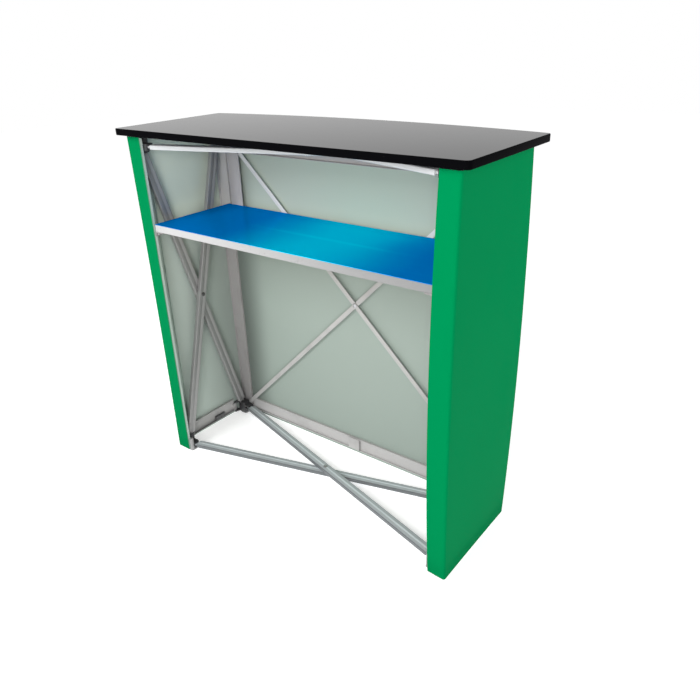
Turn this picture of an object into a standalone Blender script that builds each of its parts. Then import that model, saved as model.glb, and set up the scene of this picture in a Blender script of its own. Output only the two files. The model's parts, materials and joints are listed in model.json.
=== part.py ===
"""Pop-up counter: a scissor frame in eight hubs, edge bars, three sheet panels, a shelf and a loose top.

Metres, +Z up. The origin is on the floor under the middle of the top. The staff side, which is open,
faces -Y, and the customer side faces +Y.
"""

import math

import bmesh
import bpy
from mathutils import Vector
from mathutils.geometry import intersect_line_line_2d

# Fits
GAP = 0.0003  # between pieces that touch
PLAY = 0.0003  # round a pin, on its radius, and beside a tongue in its slot
SCISSOR_GAP = 0.0005  # between two struts that cross

# Sheet panels
PANEL_WIDTH = 0.970
PANEL_DEPTH = 0.292
PANEL_THICKNESS = 0.002
PANEL_FLOOR_GAP = 0.002
PANEL_TOP_GAP = 0.005
FLANGE_WIDTH = 0.048
BEND_RADIUS = 0.010

# Top
TOP_HEIGHT = 0.970
TOP_THICKNESS = 0.0165
TOP_SIDE_OVERHANG = 0.0225
TOP_STAFF_OVERHANG = 0.021
TOP_CUSTOMER_OVERHANG = 0.046
TOP_BOW = 0.045
TOP_CORNER_RADIUS = 0.012
EDGING_THICKNESS = 0.002
FRAME_TOP_GAP = 0.003

# Shelf
SHELF_HEIGHT = 0.724
SHELF_THICKNESS = 0.020
SHELF_END_GAP = 0.003
SHELF_STAFF_INSET = 0.004
LAMINATE_THICKNESS = 0.001

# Struts, flat tube on edge to the scissor's plane, with crimped ends
STRUT_WIDTH = 0.026
STRUT_THICKNESS = 0.013
STRUT_WALL = 0.0014
STRUT_EDGE_RADIUS = 0.0025
TONGUE_WIDTH = 0.015
TONGUE_THICKNESS = 0.006
TONGUE_LENGTH = 0.0125
CRIMP_LENGTH = 0.005
PIN_RADIUS = 0.003
PIN_HOLE_SIDES = 16
RIVET_RADIUS = 0.003
RIVET_HEAD_RADIUS = 0.0062
RIVET_HEAD_HEIGHT = 0.0022
RIVET_DOME = ((0.0, 1.0), (0.55, 0.9), (1.0, 0.5))  # shares of the head's height and radius

# Bars, shallow channels along the panel edges
BAR_WIDTH = 0.0455
BAR_DEPTH = 0.007
BAR_WALL = 0.002
BAR_END_INSET = 0.004
BAR_NOTCH_ABOVE_HUB = 0.017
REAR_BAR_LOW = 0.014
REAR_BAR_HEIGHT = 0.042
REAR_TOP_BAR_DROP = 0.0355

# Flat braces across the customer side
BRACE_WIDTH = 0.013
BRACE_THICKNESS = 0.002
FAR_BRACE_FLOOR_RISE = 0.022
FAR_BRACE_TOP_DROP = 0.0245
NEAR_BRACE_FLOOR_RISE = 0.0805
NEAR_BRACE_TOP_DROP = 0.009

# Hubs
EAR = 0.005
HUB_LOW = 0.005
HUB_HEIGHT = 0.038
HUB_DEPTH = 0.024
HUB_CORNER_RADIUS = 0.003
SIDE_PIVOT_RISE = 0.034
LEVEL_EAR_REACH = 0.010
BAR_TO_STRUT = 0.0022
PEG_RADIUS = 0.005
PEG_TIP_RADIUS = 0.004
PEG_HEIGHT = 0.007
PAD_RADIUS = 0.011

# Lock arms along the floor at both ends
ARM_LOW = 0.013
ARM_HEIGHT = 0.043
ARM_PIVOT_PAST_HUB = 0.012
ARM_PIN_RADIUS = 0.0018
LUG_THICKNESS = 0.0047
COUPLER_LENGTH = 0.020
COUPLER_HEIGHT = 0.016
COUPLER_SHIFT = 0.026  # towards the customer, from halfway between the hubs
COUPLER_PROUD = 0.0035
COUPLER_GAP = 0.0006

# Feet
FOOT_HEIGHT = 0.0047
FOOT_INSET = 0.0017
POST_RADIUS = 0.006
POST_HEIGHT = 0.040
POST_PAST_PIVOT = 0.0062

# Shelf hangers and brackets
HANGER_WIDTH = 0.046
HANGER_THICKNESS = 0.003
HANGER_FROM_BAR = 0.015
HANGER_TOE = 0.028
HOOK_INSET = 0.020
BRACKET_LENGTH = 0.018
BRACKET_REACH = 0.030
BRACKET_DROP = 0.013

# Places worked out from the sizes above
TOP_DEPTH = TOP_STAFF_OVERHANG + PANEL_DEPTH + TOP_CUSTOMER_OVERHANG + TOP_BOW
STAFF_Y = TOP_STAFF_OVERHANG - TOP_DEPTH / 2
CUSTOMER_Y = STAFF_Y + PANEL_DEPTH
TOP_UNDERSIDE = TOP_HEIGHT - TOP_THICKNESS
FRAME_TOP = TOP_UNDERSIDE - FRAME_TOP_GAP
PANEL_TOP = TOP_UNDERSIDE - PANEL_TOP_GAP
SKIN = PANEL_THICKNESS + GAP
OUTER_PLANE = SKIN + BAR_DEPTH + BAR_TO_STRUT + STRUT_THICKNESS / 2
INNER_PLANE = OUTER_PLANE + STRUT_THICKNESS + SCISSOR_GAP
HALF_SLOT = TONGUE_THICKNESS / 2 + PLAY
HUB_OUTER = OUTER_PLANE - HALF_SLOT - EAR
HUB_INNER = INNER_PLANE + HALF_SLOT + EAR
LEVEL_PIVOT = HUB_INNER + TONGUE_WIDTH / 2 + 3 * PLAY
LEVEL_LOW = HUB_LOW + EAR + HALF_SLOT + PLAY
LEVEL_HIGH = LEVEL_LOW + STRUT_THICKNESS + SCISSOR_GAP
BRACE_OUTER = SKIN + BAR_DEPTH + GAP
BRACE_INNER = BRACE_OUTER + BRACE_THICKNESS + GAP
REAR_TOP_BAR_LOW = FRAME_TOP - REAR_TOP_BAR_DROP - REAR_BAR_HEIGHT
STAFF_HUB_FACE = SKIN + BAR_WALL + GAP
CUSTOMER_HUB_FACE = BRACE_INNER + BRACE_THICKNESS + GAP
STAFF_PIVOT = SKIN + BAR_DEPTH + GAP + EAR + TONGUE_WIDTH / 2
CUSTOMER_PIVOT = CUSTOMER_HUB_FACE + EAR + TONGUE_WIDTH / 2
PIVOT_TO_BACK = HUB_DEPTH - EAR - TONGUE_WIDTH / 2
ARM_MIDDLE = SKIN + BAR_DEPTH / 2
SHELF_LENGTH = PANEL_WIDTH - 2 * FLANGE_WIDTH - 2 * SHELF_END_GAP
SHELF_REAR_INSET = BRACE_INNER + BRACE_THICKNESS + GAP + HANGER_THICKNESS + GAP

LEFT, RIGHT = -1, 1
STAFF, CUSTOMER = -1, 1
FLOOR, TOP = -1, 1
BARE_HUB = (RIGHT, FLOOR)  # the customer hub that carries no brace
SIDE_NAMES = {LEFT: "left", RIGHT: "right"}
END_NAMES = {STAFF: "staff", CUSTOMER: "customer"}
LEVEL_NAMES = {FLOOR: "floor", TOP: "top"}

FINISHES = {
    "black_plastic": ((0.012, 0.012, 0.013), 0.45, 0.0),
    "aluminium": ((0.60, 0.61, 0.62), 0.38, 1.0),
    "steel": ((0.50, 0.50, 0.51), 0.30, 1.0),
    "bar_grey": ((0.47, 0.46, 0.45), 0.50, 0.0),
    "brace_white": ((0.66, 0.64, 0.63), 0.45, 0.0),
    "foot_grey": ((0.38, 0.38, 0.38), 0.55, 0.0),
    "sheet_green": ((0.0, 0.30, 0.09), 0.42, 0.0),
    "shelf_blue": ((0.0, 0.12, 0.45), 0.12, 0.0),
    "edge_white": ((0.80, 0.80, 0.80), 0.40, 0.0),
    "board_core": ((0.42, 0.33, 0.24), 0.70, 0.0),
    "top_black": ((0.010, 0.010, 0.011), 0.10, 0.0),
}


def clear_scene():
    """Removes every object that the file holds."""
    for old in list(bpy.data.objects):
        bpy.data.objects.remove(old)


def finish(name):
    """Returns the Principled material of this finish, made once."""
    found = bpy.data.materials.get(name)
    if found:
        return found
    colour, roughness, metallic = FINISHES[name]
    made = bpy.data.materials.new(name)
    made.use_nodes = True
    made.diffuse_color = (*colour, 1.0)
    shader = made.node_tree.nodes["Principled BSDF"]
    shader.inputs["Base Color"].default_value = (*colour, 1.0)
    shader.inputs["Roughness"].default_value = roughness
    shader.inputs["Metallic"].default_value = metallic
    return made


def loft(name, rings, material=None, origin=(0.0, 0.0, 0.0)):
    """Makes a closed object by bridging rings of points, with a face over each end."""
    origin = Vector(origin)
    bm = bmesh.new()
    loops = [[bm.verts.new(Vector(point) - origin) for point in ring] for ring in rings]
    bm.faces.new(loops[0])
    bm.faces.new(loops[-1])
    for first, second in zip(loops, loops[1:]):
        for i in range(len(first)):
            j = (i + 1) % len(first)
            bm.faces.new((first[i], first[j], second[j], second[i]))
    bmesh.ops.recalc_face_normals(bm, faces=bm.faces)
    mesh = bpy.data.meshes.new(name)
    bm.to_mesh(mesh)
    bm.free()
    mesh.shade_smooth()
    mesh.set_sharp_from_angle(angle=math.radians(32))
    made = bpy.data.objects.new(name, mesh)
    made.location = origin
    if material:
        mesh.materials.append(finish(material))
    bpy.context.scene.collection.objects.link(made)
    return made


def combine(target, operation, operand):
    """Adds a Boolean of this kind to the target, and hides the operand."""
    modifier = target.modifiers.new(operand.name, "BOOLEAN")
    modifier.operation = operation
    modifier.solver = "EXACT"
    modifier.object = operand
    operand.hide_render = True
    operand.display_type = "WIRE"


def join(target, *pieces):
    """Unites these pieces with the target."""
    for piece in pieces:
        combine(target, "UNION", piece)


def cut(target, *pieces):
    """Cuts these pieces out of the target."""
    for piece in pieces:
        combine(target, "DIFFERENCE", piece)


def arc(centre, radius, start, end, steps):
    """Returns points along an arc, angles in degrees."""
    angles = [math.radians(start + (end - start) * i / steps) for i in range(steps + 1)]
    return [(centre[0] + radius * math.cos(a), centre[1] + radius * math.sin(a)) for a in angles]


def rounded_box(low, high, radius, steps=2):
    """Returns the outline of a rectangle with round corners."""
    (a, b), (c, d) = low, high
    corners = (((c - radius, d - radius), 0), ((a + radius, d - radius), 90),
               ((a + radius, b + radius), 180), ((c - radius, b + radius), 270))
    return [point for centre, turn in corners for point in arc(centre, radius, turn, turn + 90, steps)]


def rectangle(low, high):
    """Returns the outline of a rectangle."""
    (a, b), (c, d) = low, high
    return [(a, b), (c, b), (c, d), (a, d)]


def circle(centre, radius, steps):
    """Returns the outline of a circle."""
    return arc(centre, radius, 0, 360 * (1 - 1 / steps), steps - 1)


def corner_place(side, end, level):
    """Returns a function from distances inward from one outer corner to a point.

    The distances are u from the end panel, v from the panel face or open side, and w from the floor
    or the frame's top.
    """
    def place(u, v, w):
        x = side * (PANEL_WIDTH / 2 - u)
        y = STAFF_Y + v if end == STAFF else CUSTOMER_Y - v
        z = w if level == FLOOR else FRAME_TOP - w
        return (x, y, z)
    return place


def upright(name, place, outline, low, high, material=None, origin=(0, 0, 0)):
    """Extrudes an outline in u and v from one height to another."""
    rings = [[place(u, v, w) for u, v in outline] for w in (low, high)]
    return loft(name, rings, material, origin)


def crosswise(name, place, outline, low, high, material=None):
    """Extrudes an outline in v and w from one u to another."""
    return loft(name, [[place(u, v, w) for v, w in outline] for u in (low, high)], material)


def lengthwise(name, place, outline, low, high, material=None, origin=(0, 0, 0)):
    """Extrudes an outline in u and w from one v to another."""
    return loft(name, [[place(u, v, w) for u, w in outline] for v in (low, high)], material, origin)


def world(x, y, z):
    """Takes a point as it is, for outlines in the counter's own axes."""
    return (x, y, z)


def hub_depths(end):
    """Returns how far a hub's outer face, pivots and inner face lie from the panel face of this end."""
    face = STAFF_HUB_FACE if end == STAFF else CUSTOMER_HUB_FACE
    pivot = STAFF_PIVOT if end == STAFF else CUSTOMER_PIVOT
    return face, pivot, pivot + PIVOT_TO_BACK


def side_plane(end, level):
    """Returns how far the side strut of a hub lies from the end panel: one diagonal outside, one inside."""
    return INNER_PLANE if end == level else OUTER_PLANE


def level_rise(side, end, level):
    """Returns the height, from floor or frame top, of the strut that a hub holds in its level slot."""
    return LEVEL_LOW if side * end == -level else LEVEL_HIGH


def hub(side, end, level):
    """Makes a moulded hub with a slot and pin for a side strut and another for a floor or top strut."""
    name = f"hub_{LEVEL_NAMES[level]}_{END_NAMES[end]}_{SIDE_NAMES[side]}"
    place = corner_place(side, end, level)
    face, pivot, back = hub_depths(end)
    plane, rise = side_plane(end, level), level_rise(side, end, level)
    top = HUB_LOW + HUB_HEIGHT
    core = rounded_box((HUB_OUTER, face), (HUB_INNER, back), HUB_CORNER_RADIUS)
    made = upright(name, place, core, HUB_LOW, top, "black_plastic")

    reach = LEVEL_PIVOT + LEVEL_EAR_REACH
    half_ears = HALF_SLOT + EAR
    ears = rounded_box((HUB_INNER - EAR / 2, pivot - PIVOT_TO_BACK), (reach, back), HUB_CORNER_RADIUS)
    join(made, upright(name + "_level_ears", place, ears, rise - half_ears, rise + half_ears))
    if level == FLOOR:
        join_arm_lugs(made, name, place, back, top)
    else:
        join_top_peg(made, name, place, end)
    if end == CUSTOMER and (side, level) != BARE_HUB:
        stud = circle(hub_stud(side, level), PIN_RADIUS, 12)
        join(made, lengthwise(name + "_stud", place, stud, BRACE_OUTER, face + EAR / 2))

    eye = TONGUE_WIDTH / 2 + PLAY
    tall = rectangle((pivot - eye, SIDE_PIVOT_RISE - eye), (back + EAR, top + EAR))
    wide = rectangle((LEVEL_PIVOT - eye, pivot - eye), (reach + EAR, back + EAR))
    cut(made, crosswise(name + "_side_slot", place, tall, plane - HALF_SLOT, plane + HALF_SLOT),
        upright(name + "_level_slot", place, wide, rise - HALF_SLOT, rise + HALF_SLOT))
    side_pin = circle((pivot, SIDE_PIVOT_RISE), PIN_RADIUS, 12)
    level_pin = circle((LEVEL_PIVOT, pivot), PIN_RADIUS, 12)
    pin_reach = HALF_SLOT + EAR / 2
    join(made, crosswise(name + "_side_pin", place, side_pin, plane - pin_reach, plane + pin_reach),
         upright(name + "_level_pin", place, level_pin, rise - pin_reach, rise + pin_reach))
    if level == FLOOR and end == STAFF:
        seat = circle(post_centre(), POST_RADIUS + GAP, 20)
        cut(made, upright(name + "_post_seat", place, seat, 0, top + EAR))
    return made


def arm_pivot(end):
    """Returns how far the lock arm's pin lies from the panel face of this end."""
    return hub_depths(end)[2] + ARM_PIVOT_PAST_HUB


def join_arm_lugs(made, name, place, back, top):
    """Adds the two lugs and the pin that carry a lock arm."""
    pivot = back + ARM_PIVOT_PAST_HUB
    half = BAR_DEPTH / 2
    inside = HUB_OUTER + HUB_CORNER_RADIUS
    round_end = arc((ARM_MIDDLE, pivot), half, 0, 180, 6)
    outline = [(ARM_MIDDLE - half, back - EAR), (inside, back - EAR), (inside, back - PLAY), *round_end]
    for part, low in (("low", HUB_LOW), ("high", top - LUG_THICKNESS)):
        join(made, upright(f"{name}_lug_{part}", place, outline, low, low + LUG_THICKNESS))
    pin = circle((ARM_MIDDLE, pivot), ARM_PIN_RADIUS, 12)
    inset = LUG_THICKNESS / 3
    join(made, upright(name + "_arm_pin", place, pin, HUB_LOW + inset, top - inset))


def peg_centre(end):
    """Returns where a top hub's peg stands, in u and v."""
    return ((HUB_OUTER + HUB_INNER) / 2, hub_depths(end)[1])


def join_top_peg(made, name, place, end):
    """Adds the pad that carries the top and the tapered peg that locates it."""
    lift = FRAME_TOP_GAP - GAP
    steps = ((HUB_LOW + EAR / 2, PAD_RADIUS), (-lift, PAD_RADIUS), (-lift, PEG_RADIUS),
             (-lift - PEG_HEIGHT, PEG_TIP_RADIUS))
    rings = [[place(u, v, w) for u, v in circle(peg_centre(end), radius, 16)] for w, radius in steps]
    join(made, loft(name + "_peg", rings))


def hub_stud(side, level):
    """Returns where a customer hub's stud for a brace stands, in u and w."""
    if (side, level) == (LEFT, TOP):
        return (HUB_INNER + GAP, NEAR_BRACE_TOP_DROP)
    return ((HUB_OUTER + HUB_INNER) / 2, FAR_BRACE_FLOOR_RISE if level == FLOOR else FAR_BRACE_TOP_DROP)


def bar_stud():
    """Returns where the right customer bar's stud for a brace stands, in u and w."""
    return (SKIN + BAR_WIDTH / 2, NEAR_BRACE_FLOOR_RISE)


def strut(name, start, stop, across):
    """Makes a flat tube from pin to pin, with crimped round tongues and holes for pins and rivet."""
    start, stop, across = Vector(start), Vector(stop), Vector(across)
    length = (stop - start).length
    along = (stop - start) / length
    tall = across.cross(along)
    wide, thick = STRUT_WIDTH / 2, STRUT_THICKNESS / 2
    half, flat = TONGUE_WIDTH / 2, TONGUE_THICKNESS / 2
    body = TONGUE_LENGTH + CRIMP_LENGTH

    ends = [(s, tallness, flat) for s, tallness in arc((0, 0), half, 165, 90, 3)]
    ends += [(TONGUE_LENGTH, half, flat), (body, wide, thick)]
    stations = ends + [(length - s, tallness, thickness) for s, tallness, thickness in reversed(ends)]
    rings = []
    for s, tallness, thickness in stations:
        radius = min(STRUT_EDGE_RADIUS, thickness / 2, tallness / 2)
        section = rounded_box((-tallness, -thickness), (tallness, thickness), radius)
        rings.append([start + along * s + tall * a + across * b for a, b in section])
    made = loft(name, rings, "aluminium")
    bore = rectangle((STRUT_WALL - wide, STRUT_WALL - thick), (wide - STRUT_WALL, thick - STRUT_WALL))
    hollow = [[start + along * s + tall * a + across * b for a, b in bore] for s in (body, length - body)]
    cut(made, loft(name + "_hollow", hollow))
    holes = ((start, PIN_RADIUS), ((start + stop) / 2, RIVET_RADIUS), (stop, PIN_RADIUS))
    for i, (centre, radius) in enumerate(holes):
        hole = pin_cutter(f"{name}_hole_{i}", centre, across, along, tall, radius + PLAY, STRUT_THICKNESS)
        cut(made, hole)
    return made


def pin_cutter(name, centre, axis, first, second, radius, reach):
    """Makes a round cutter along an axis through a point."""
    # Turned by half a side, so that no corner of the cutter lies on an edge of what it cuts
    turn = 180 / PIN_HOLE_SIDES
    outline = arc((0, 0), radius, turn, 360 - turn, PIN_HOLE_SIDES - 1)
    rings = [[centre + first * a + second * b + axis * t for a, b in outline] for t in (-reach, reach)]
    return loft(name, rings)


def side_struts(side):
    """Makes the two crossing struts of one end of the counter, and their rivet."""
    middle = []
    for end in (STAFF, CUSTOMER):
        plane = side_plane(end, FLOOR)
        low = corner_place(side, end, FLOOR)(plane, hub_depths(end)[1], SIDE_PIVOT_RISE)
        high = corner_place(side, -end, TOP)(plane, hub_depths(-end)[1], SIDE_PIVOT_RISE)
        lies = "inner" if plane == INNER_PLANE else "outer"
        strut(f"strut_{SIDE_NAMES[side]}_{lies}", low, high, (1, 0, 0))
        middle.append((Vector(low) + Vector(high)) / 2)
    reach = STRUT_THICKNESS + SCISSOR_GAP / 2
    rivet(f"rivet_{SIDE_NAMES[side]}", (middle[0] + middle[1]) / 2, Vector((1, 0, 0)), reach)


def level_struts(level):
    """Makes the two crossing struts of the floor or of the top, and their rivet."""
    middle = []
    for side in (LEFT, RIGHT):
        rise = level_rise(side, STAFF, level)
        near = corner_place(side, STAFF, level)(LEVEL_PIVOT, STAFF_PIVOT, rise)
        far = corner_place(-side, CUSTOMER, level)(LEVEL_PIVOT, CUSTOMER_PIVOT, rise)
        strut(f"strut_{LEVEL_NAMES[level]}_from_staff_{SIDE_NAMES[side]}", near, far, (0, 0, 1))
        middle.append((Vector(near) + Vector(far)) / 2)
    reach = STRUT_THICKNESS + SCISSOR_GAP / 2
    rivet(f"rivet_{LEVEL_NAMES[level]}", (middle[0] + middle[1]) / 2, Vector((0, 0, 1)), reach)


def rivet(name, centre, axis, reach):
    """Makes a rivet through two pieces that cross, with a low domed head on each face."""
    first = axis.orthogonal().normalized()
    second = axis.cross(first)
    seat = reach + GAP
    upper = [(seat, RIVET_RADIUS)]
    upper += [(seat + RIVET_HEAD_HEIGHT * rise, RIVET_HEAD_RADIUS * share) for rise, share in RIVET_DOME]
    profile = [(-t, r) for t, r in reversed(upper)] + upper
    rings = []
    for t, r in profile:
        rings.append([centre + first * a + second * b + axis * t for a, b in circle((0, 0), r, 16)])
    return loft(name, rings, "steel")


def brace(name, start, stop, crossing, depth):
    """Makes a flat brace across the customer side, round at both ends, with holes for studs and rivet."""
    (x0, z0), (x1, z1) = start, stop
    turn = math.degrees(math.atan2(z1 - z0, x1 - x0))
    half = BRACE_WIDTH / 2
    outline = arc(start, half, turn + 90, turn + 270, 8) + arc(stop, half, turn - 90, turn + 90, 8)
    near = CUSTOMER_Y - depth - BRACE_THICKNESS
    rings = [[(x, y, z) for x, z in outline] for y in (near, near + BRACE_THICKNESS)]
    made = loft(name, rings, "brace_white")
    axes = (Vector((0, 1, 0)), Vector((1, 0, 0)), Vector((0, 0, 1)))
    holes = ((start, PIN_RADIUS), (crossing, RIVET_RADIUS), (stop, PIN_RADIUS))
    for i, ((x, z), radius) in enumerate(holes):
        centre = Vector((x, near, z))
        cut(made, pin_cutter(f"{name}_hole_{i}", centre, *axes, radius + PLAY, 3 * BRACE_THICKNESS))
    return made


def customer_braces():
    """Makes the two crossing braces of the customer side, and their rivet."""
    studs = ((LEFT, TOP, hub_stud(LEFT, TOP)), (RIGHT, FLOOR, bar_stud()),
             (LEFT, FLOOR, hub_stud(LEFT, FLOOR)), (RIGHT, TOP, hub_stud(RIGHT, TOP)))
    ends = []
    for side, level, (u, w) in studs:
        x, _, z = corner_place(side, CUSTOMER, level)(u, 0, w)
        ends.append((x, z))
    crossing = tuple(intersect_line_line_2d(*ends))
    brace("brace_near", *ends[:2], crossing, BRACE_INNER)
    brace("brace_far", *ends[2:], crossing, BRACE_OUTER)
    y = CUSTOMER_Y - BRACE_INNER + GAP / 2
    # The far head of this rivet stands in the free depth beside the bars
    centre = Vector((crossing[0], y, crossing[1]))
    rivet("rivet_customer", centre, Vector((0, 1, 0)), BRACE_THICKNESS + GAP / 2)


def channel(width, depth):
    """Returns the outline of a shallow channel: web at depth 0, lips at both edges, in depth and width."""
    wall = BAR_WALL
    return [(0, 0), (depth, 0), (depth, wall), (wall, wall), (wall, width - wall), (depth, width - wall),
            (depth, width), (0, width)]


def staff_bar(side):
    """Makes the lipped corner bar behind a return flange and along the end panel."""
    name = f"bar_staff_{SIDE_NAMES[side]}"
    place = corner_place(side, STAFF, FLOOR)
    inner = FLANGE_WIDTH - GAP
    outer_radius = BEND_RADIUS - SKIN
    bend = (SKIN + outer_radius, SKIN + outer_radius)
    thick = SKIN + BAR_WALL
    lip = SKIN + BAR_DEPTH
    outline = [(inner, SKIN), (inner, lip), (inner - BAR_WALL, lip), (inner - BAR_WALL, thick)]
    outline += arc(bend, outer_radius - BAR_WALL, 270, 180, 4)
    outline += [(thick, inner - BAR_WALL), (lip, inner - BAR_WALL), (lip, inner), (SKIN, inner)]
    outline += arc(bend, outer_radius, 180, 270, 4)
    made = upright(name, place, outline, FOOT_HEIGHT + GAP, FRAME_TOP - BAR_END_INSET, "bar_grey")
    room = HUB_LOW + HUB_HEIGHT + BAR_NOTCH_ABOVE_HUB
    notch = rectangle((-EAR, bend[1] + EAR / 2), (lip + EAR, inner + EAR))
    cut(made, upright(name + "_low_notch", place, notch, -EAR, room),
        upright(name + "_high_notch", place, notch, FRAME_TOP - room, FRAME_TOP + EAR))
    return made


def customer_bar(side):
    """Makes the upright channel on the customer panel beside a corner, on the right with a brace's stud."""
    place = corner_place(side, CUSTOMER, FLOOR)
    outline = [(SKIN + across, SKIN + depth) for depth, across in channel(BAR_WIDTH, BAR_DEPTH)]
    name = f"bar_customer_{SIDE_NAMES[side]}"
    made = upright(name, place, outline, BAR_END_INSET, FRAME_TOP - BAR_END_INSET, "bar_grey")
    if (side, FLOOR) == BARE_HUB:
        stud = circle(bar_stud(), PIN_RADIUS, 12)
        join(made, lengthwise(name + "_stud", place, stud, SKIN + BAR_WALL / 2, CUSTOMER_HUB_FACE))
    return made


def level_bar(name, low, height, x0, x1):
    """Makes a level channel on the customer panel."""
    outline = [(CUSTOMER_Y - SKIN - depth, low + across) for depth, across in channel(height, BAR_DEPTH)]
    return loft(name, [[(x, y, z) for y, z in outline] for x in (x0, x1)], "bar_grey")


def customer_level_bars():
    """Makes the bar under the top and the two halves of the bar at the floor, with their joiner."""
    reach = PANEL_WIDTH / 2 - SKIN - BAR_WIDTH - GAP
    level_bar("bar_customer_top", REAR_TOP_BAR_LOW, REAR_BAR_HEIGHT, -reach, reach)
    for side in (LEFT, RIGHT):
        ends = sorted((side * GAP / 2, side * reach))
        level_bar(f"bar_customer_floor_{SIDE_NAMES[side]}", REAR_BAR_LOW, REAR_BAR_HEIGHT, *ends)
    web = CUSTOMER_Y - SKIN - BAR_WALL - GAP
    low = REAR_BAR_LOW + BAR_WALL + GAP
    high = REAR_BAR_LOW + REAR_BAR_HEIGHT - BAR_WALL - GAP
    outline = rounded_box((-COUPLER_LENGTH, low), (COUPLER_LENGTH, high), HUB_CORNER_RADIUS)
    rings = [[(x, y, z) for x, z in outline] for y in (web, web - BAR_DEPTH)]
    loft("joiner_customer_floor", rings, "bar_grey")


def arm_tip(end):
    """Returns how far the free end of a lock arm lies from the panel face of its own end."""
    middle = (PANEL_DEPTH + arm_pivot(end) - arm_pivot(-end)) / 2
    return middle - end * COUPLER_SHIFT - COUPLER_GAP / 2


def lock_arm(side, end):
    """Makes a lock arm: a channel on a knuckle that turns on the hub's upright pin."""
    name = f"lock_arm_{END_NAMES[end]}_{SIDE_NAMES[side]}"
    place = corner_place(side, end, FLOOR)
    pivot, tip = arm_pivot(end), arm_tip(end)
    origin = place(ARM_MIDDLE, pivot, ARM_LOW)
    outline = [(SKIN + depth, ARM_LOW + across) for depth, across in channel(ARM_HEIGHT, BAR_DEPTH)]
    start = pivot + BAR_DEPTH
    made = lengthwise(name, place, outline, start, tip, "bar_grey", origin)
    half = BAR_DEPTH / 2
    knuckle = arc((ARM_MIDDLE, pivot), half, 180, 360, 8)
    knuckle += [(ARM_MIDDLE + half, start + EAR), (ARM_MIDDLE - half, start + EAR)]
    low = HUB_LOW + LUG_THICKNESS + GAP
    high = HUB_LOW + HUB_HEIGHT - LUG_THICKNESS - GAP
    join(made, upright(name + "_knuckle", place, knuckle, max(low, ARM_LOW + GAP), high))
    hole = circle((ARM_MIDDLE, pivot), ARM_PIN_RADIUS + PLAY, 12)
    cut(made, upright(name + "_hole", place, hole, 0, HUB_LOW + HUB_HEIGHT + EAR))
    return made


def coupler(side, end):
    """Makes the latch block in the free end of a lock arm, with a chamfered nose."""
    name = f"coupler_{END_NAMES[end]}_{SIDE_NAMES[side]}"
    place = corner_place(side, end, FLOOR)
    tip = arm_tip(end)
    web = SKIN + BAR_WALL + GAP
    face = SKIN + BAR_DEPTH + COUPLER_PROUD
    low = ARM_LOW + BAR_WALL + GAP
    start = tip - COUPLER_LENGTH
    outline = [(web, start), (face - EAR / 2, start), (face, start + EAR / 2), (face, tip), (web, tip)]
    origin = place(ARM_MIDDLE, arm_pivot(end), ARM_LOW)
    return upright(name, place, outline, low, low + COUPLER_HEIGHT, "black_plastic", origin)


def post_centre():
    """Returns where the grey post of a staff-side foot stands, in u and v."""
    return (LEVEL_PIVOT + POST_PAST_PIVOT, SKIN + POST_RADIUS)


def foot(side, end):
    """Makes a foot: a rounded slab under the hub, with a post beside the hub on the staff side."""
    name = f"foot_{END_NAMES[end]}_{SIDE_NAMES[side]}"
    place = corner_place(side, end, FLOOR)
    face, _, back = hub_depths(end)
    near, far = HUB_OUTER + EAR, back - FOOT_INSET
    if end == CUSTOMER:
        outline = rounded_box((near, face + FOOT_INSET), (HUB_INNER, far), HUB_CORNER_RADIUS)
        return upright(name, place, outline, 0, FOOT_HEIGHT, "foot_grey")
    u, v = post_centre()
    outline = rounded_box((near, v - POST_RADIUS), (u + POST_RADIUS, far), POST_RADIUS / 2)
    made = upright(name, place, outline, 0, FOOT_HEIGHT, "foot_grey")
    post = circle((u, v), POST_RADIUS, 20)
    join(made, upright(name + "_post", place, post, FOOT_HEIGHT / 2, POST_HEIGHT))
    return made


def end_panel(side):
    """Makes an end sheet, bent round the staff-side corner into a return flange."""
    outer, thick = BEND_RADIUS, PANEL_THICKNESS
    bend = (outer, outer)
    outline = [(FLANGE_WIDTH, 0), (FLANGE_WIDTH, thick), *arc(bend, outer - thick, 270, 180, 6)]
    outline += [(thick, PANEL_DEPTH - SKIN), (0, PANEL_DEPTH - SKIN), *arc(bend, outer, 180, 270, 6)]
    place = corner_place(side, STAFF, FLOOR)
    return upright(f"panel_{SIDE_NAMES[side]}", place, outline, PANEL_FLOOR_GAP, PANEL_TOP, "sheet_green")


def customer_panel():
    """Makes the flat sheet of the customer side."""
    outline = rectangle((-PANEL_WIDTH / 2, CUSTOMER_Y - PANEL_THICKNESS), (PANEL_WIDTH / 2, CUSTOMER_Y))
    return upright("panel_customer", world, outline, PANEL_FLOOR_GAP, PANEL_TOP, "sheet_green")


def shelf():
    """Makes the shelf: a core board with a white edge band, under a blue laminate."""
    half = SHELF_LENGTH / 2
    front, rear = STAFF_Y + SHELF_STAFF_INSET, CUSTOMER_Y - SHELF_REAR_INSET
    low, high = SHELF_HEIGHT - SHELF_THICKNESS, SHELF_HEIGHT - LAMINATE_THICKNESS - GAP
    full = rectangle((-half, front), (half, rear))
    upright("shelf_laminate", world, full, SHELF_HEIGHT - LAMINATE_THICKNESS, SHELF_HEIGHT, "shelf_blue")
    band = upright("shelf_edging", world, full, low, high, "edge_white")
    t = EDGING_THICKNESS
    inside = rectangle((-half + t, front + t), (half - t, rear - t))
    cut(band, upright("shelf_edging_inside", world, inside, low - t, high + t))
    t += GAP
    core = rectangle((-half + t, front + t), (half - t, rear - t))
    upright("shelf_board", world, core, low, high, "board_core")


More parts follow.
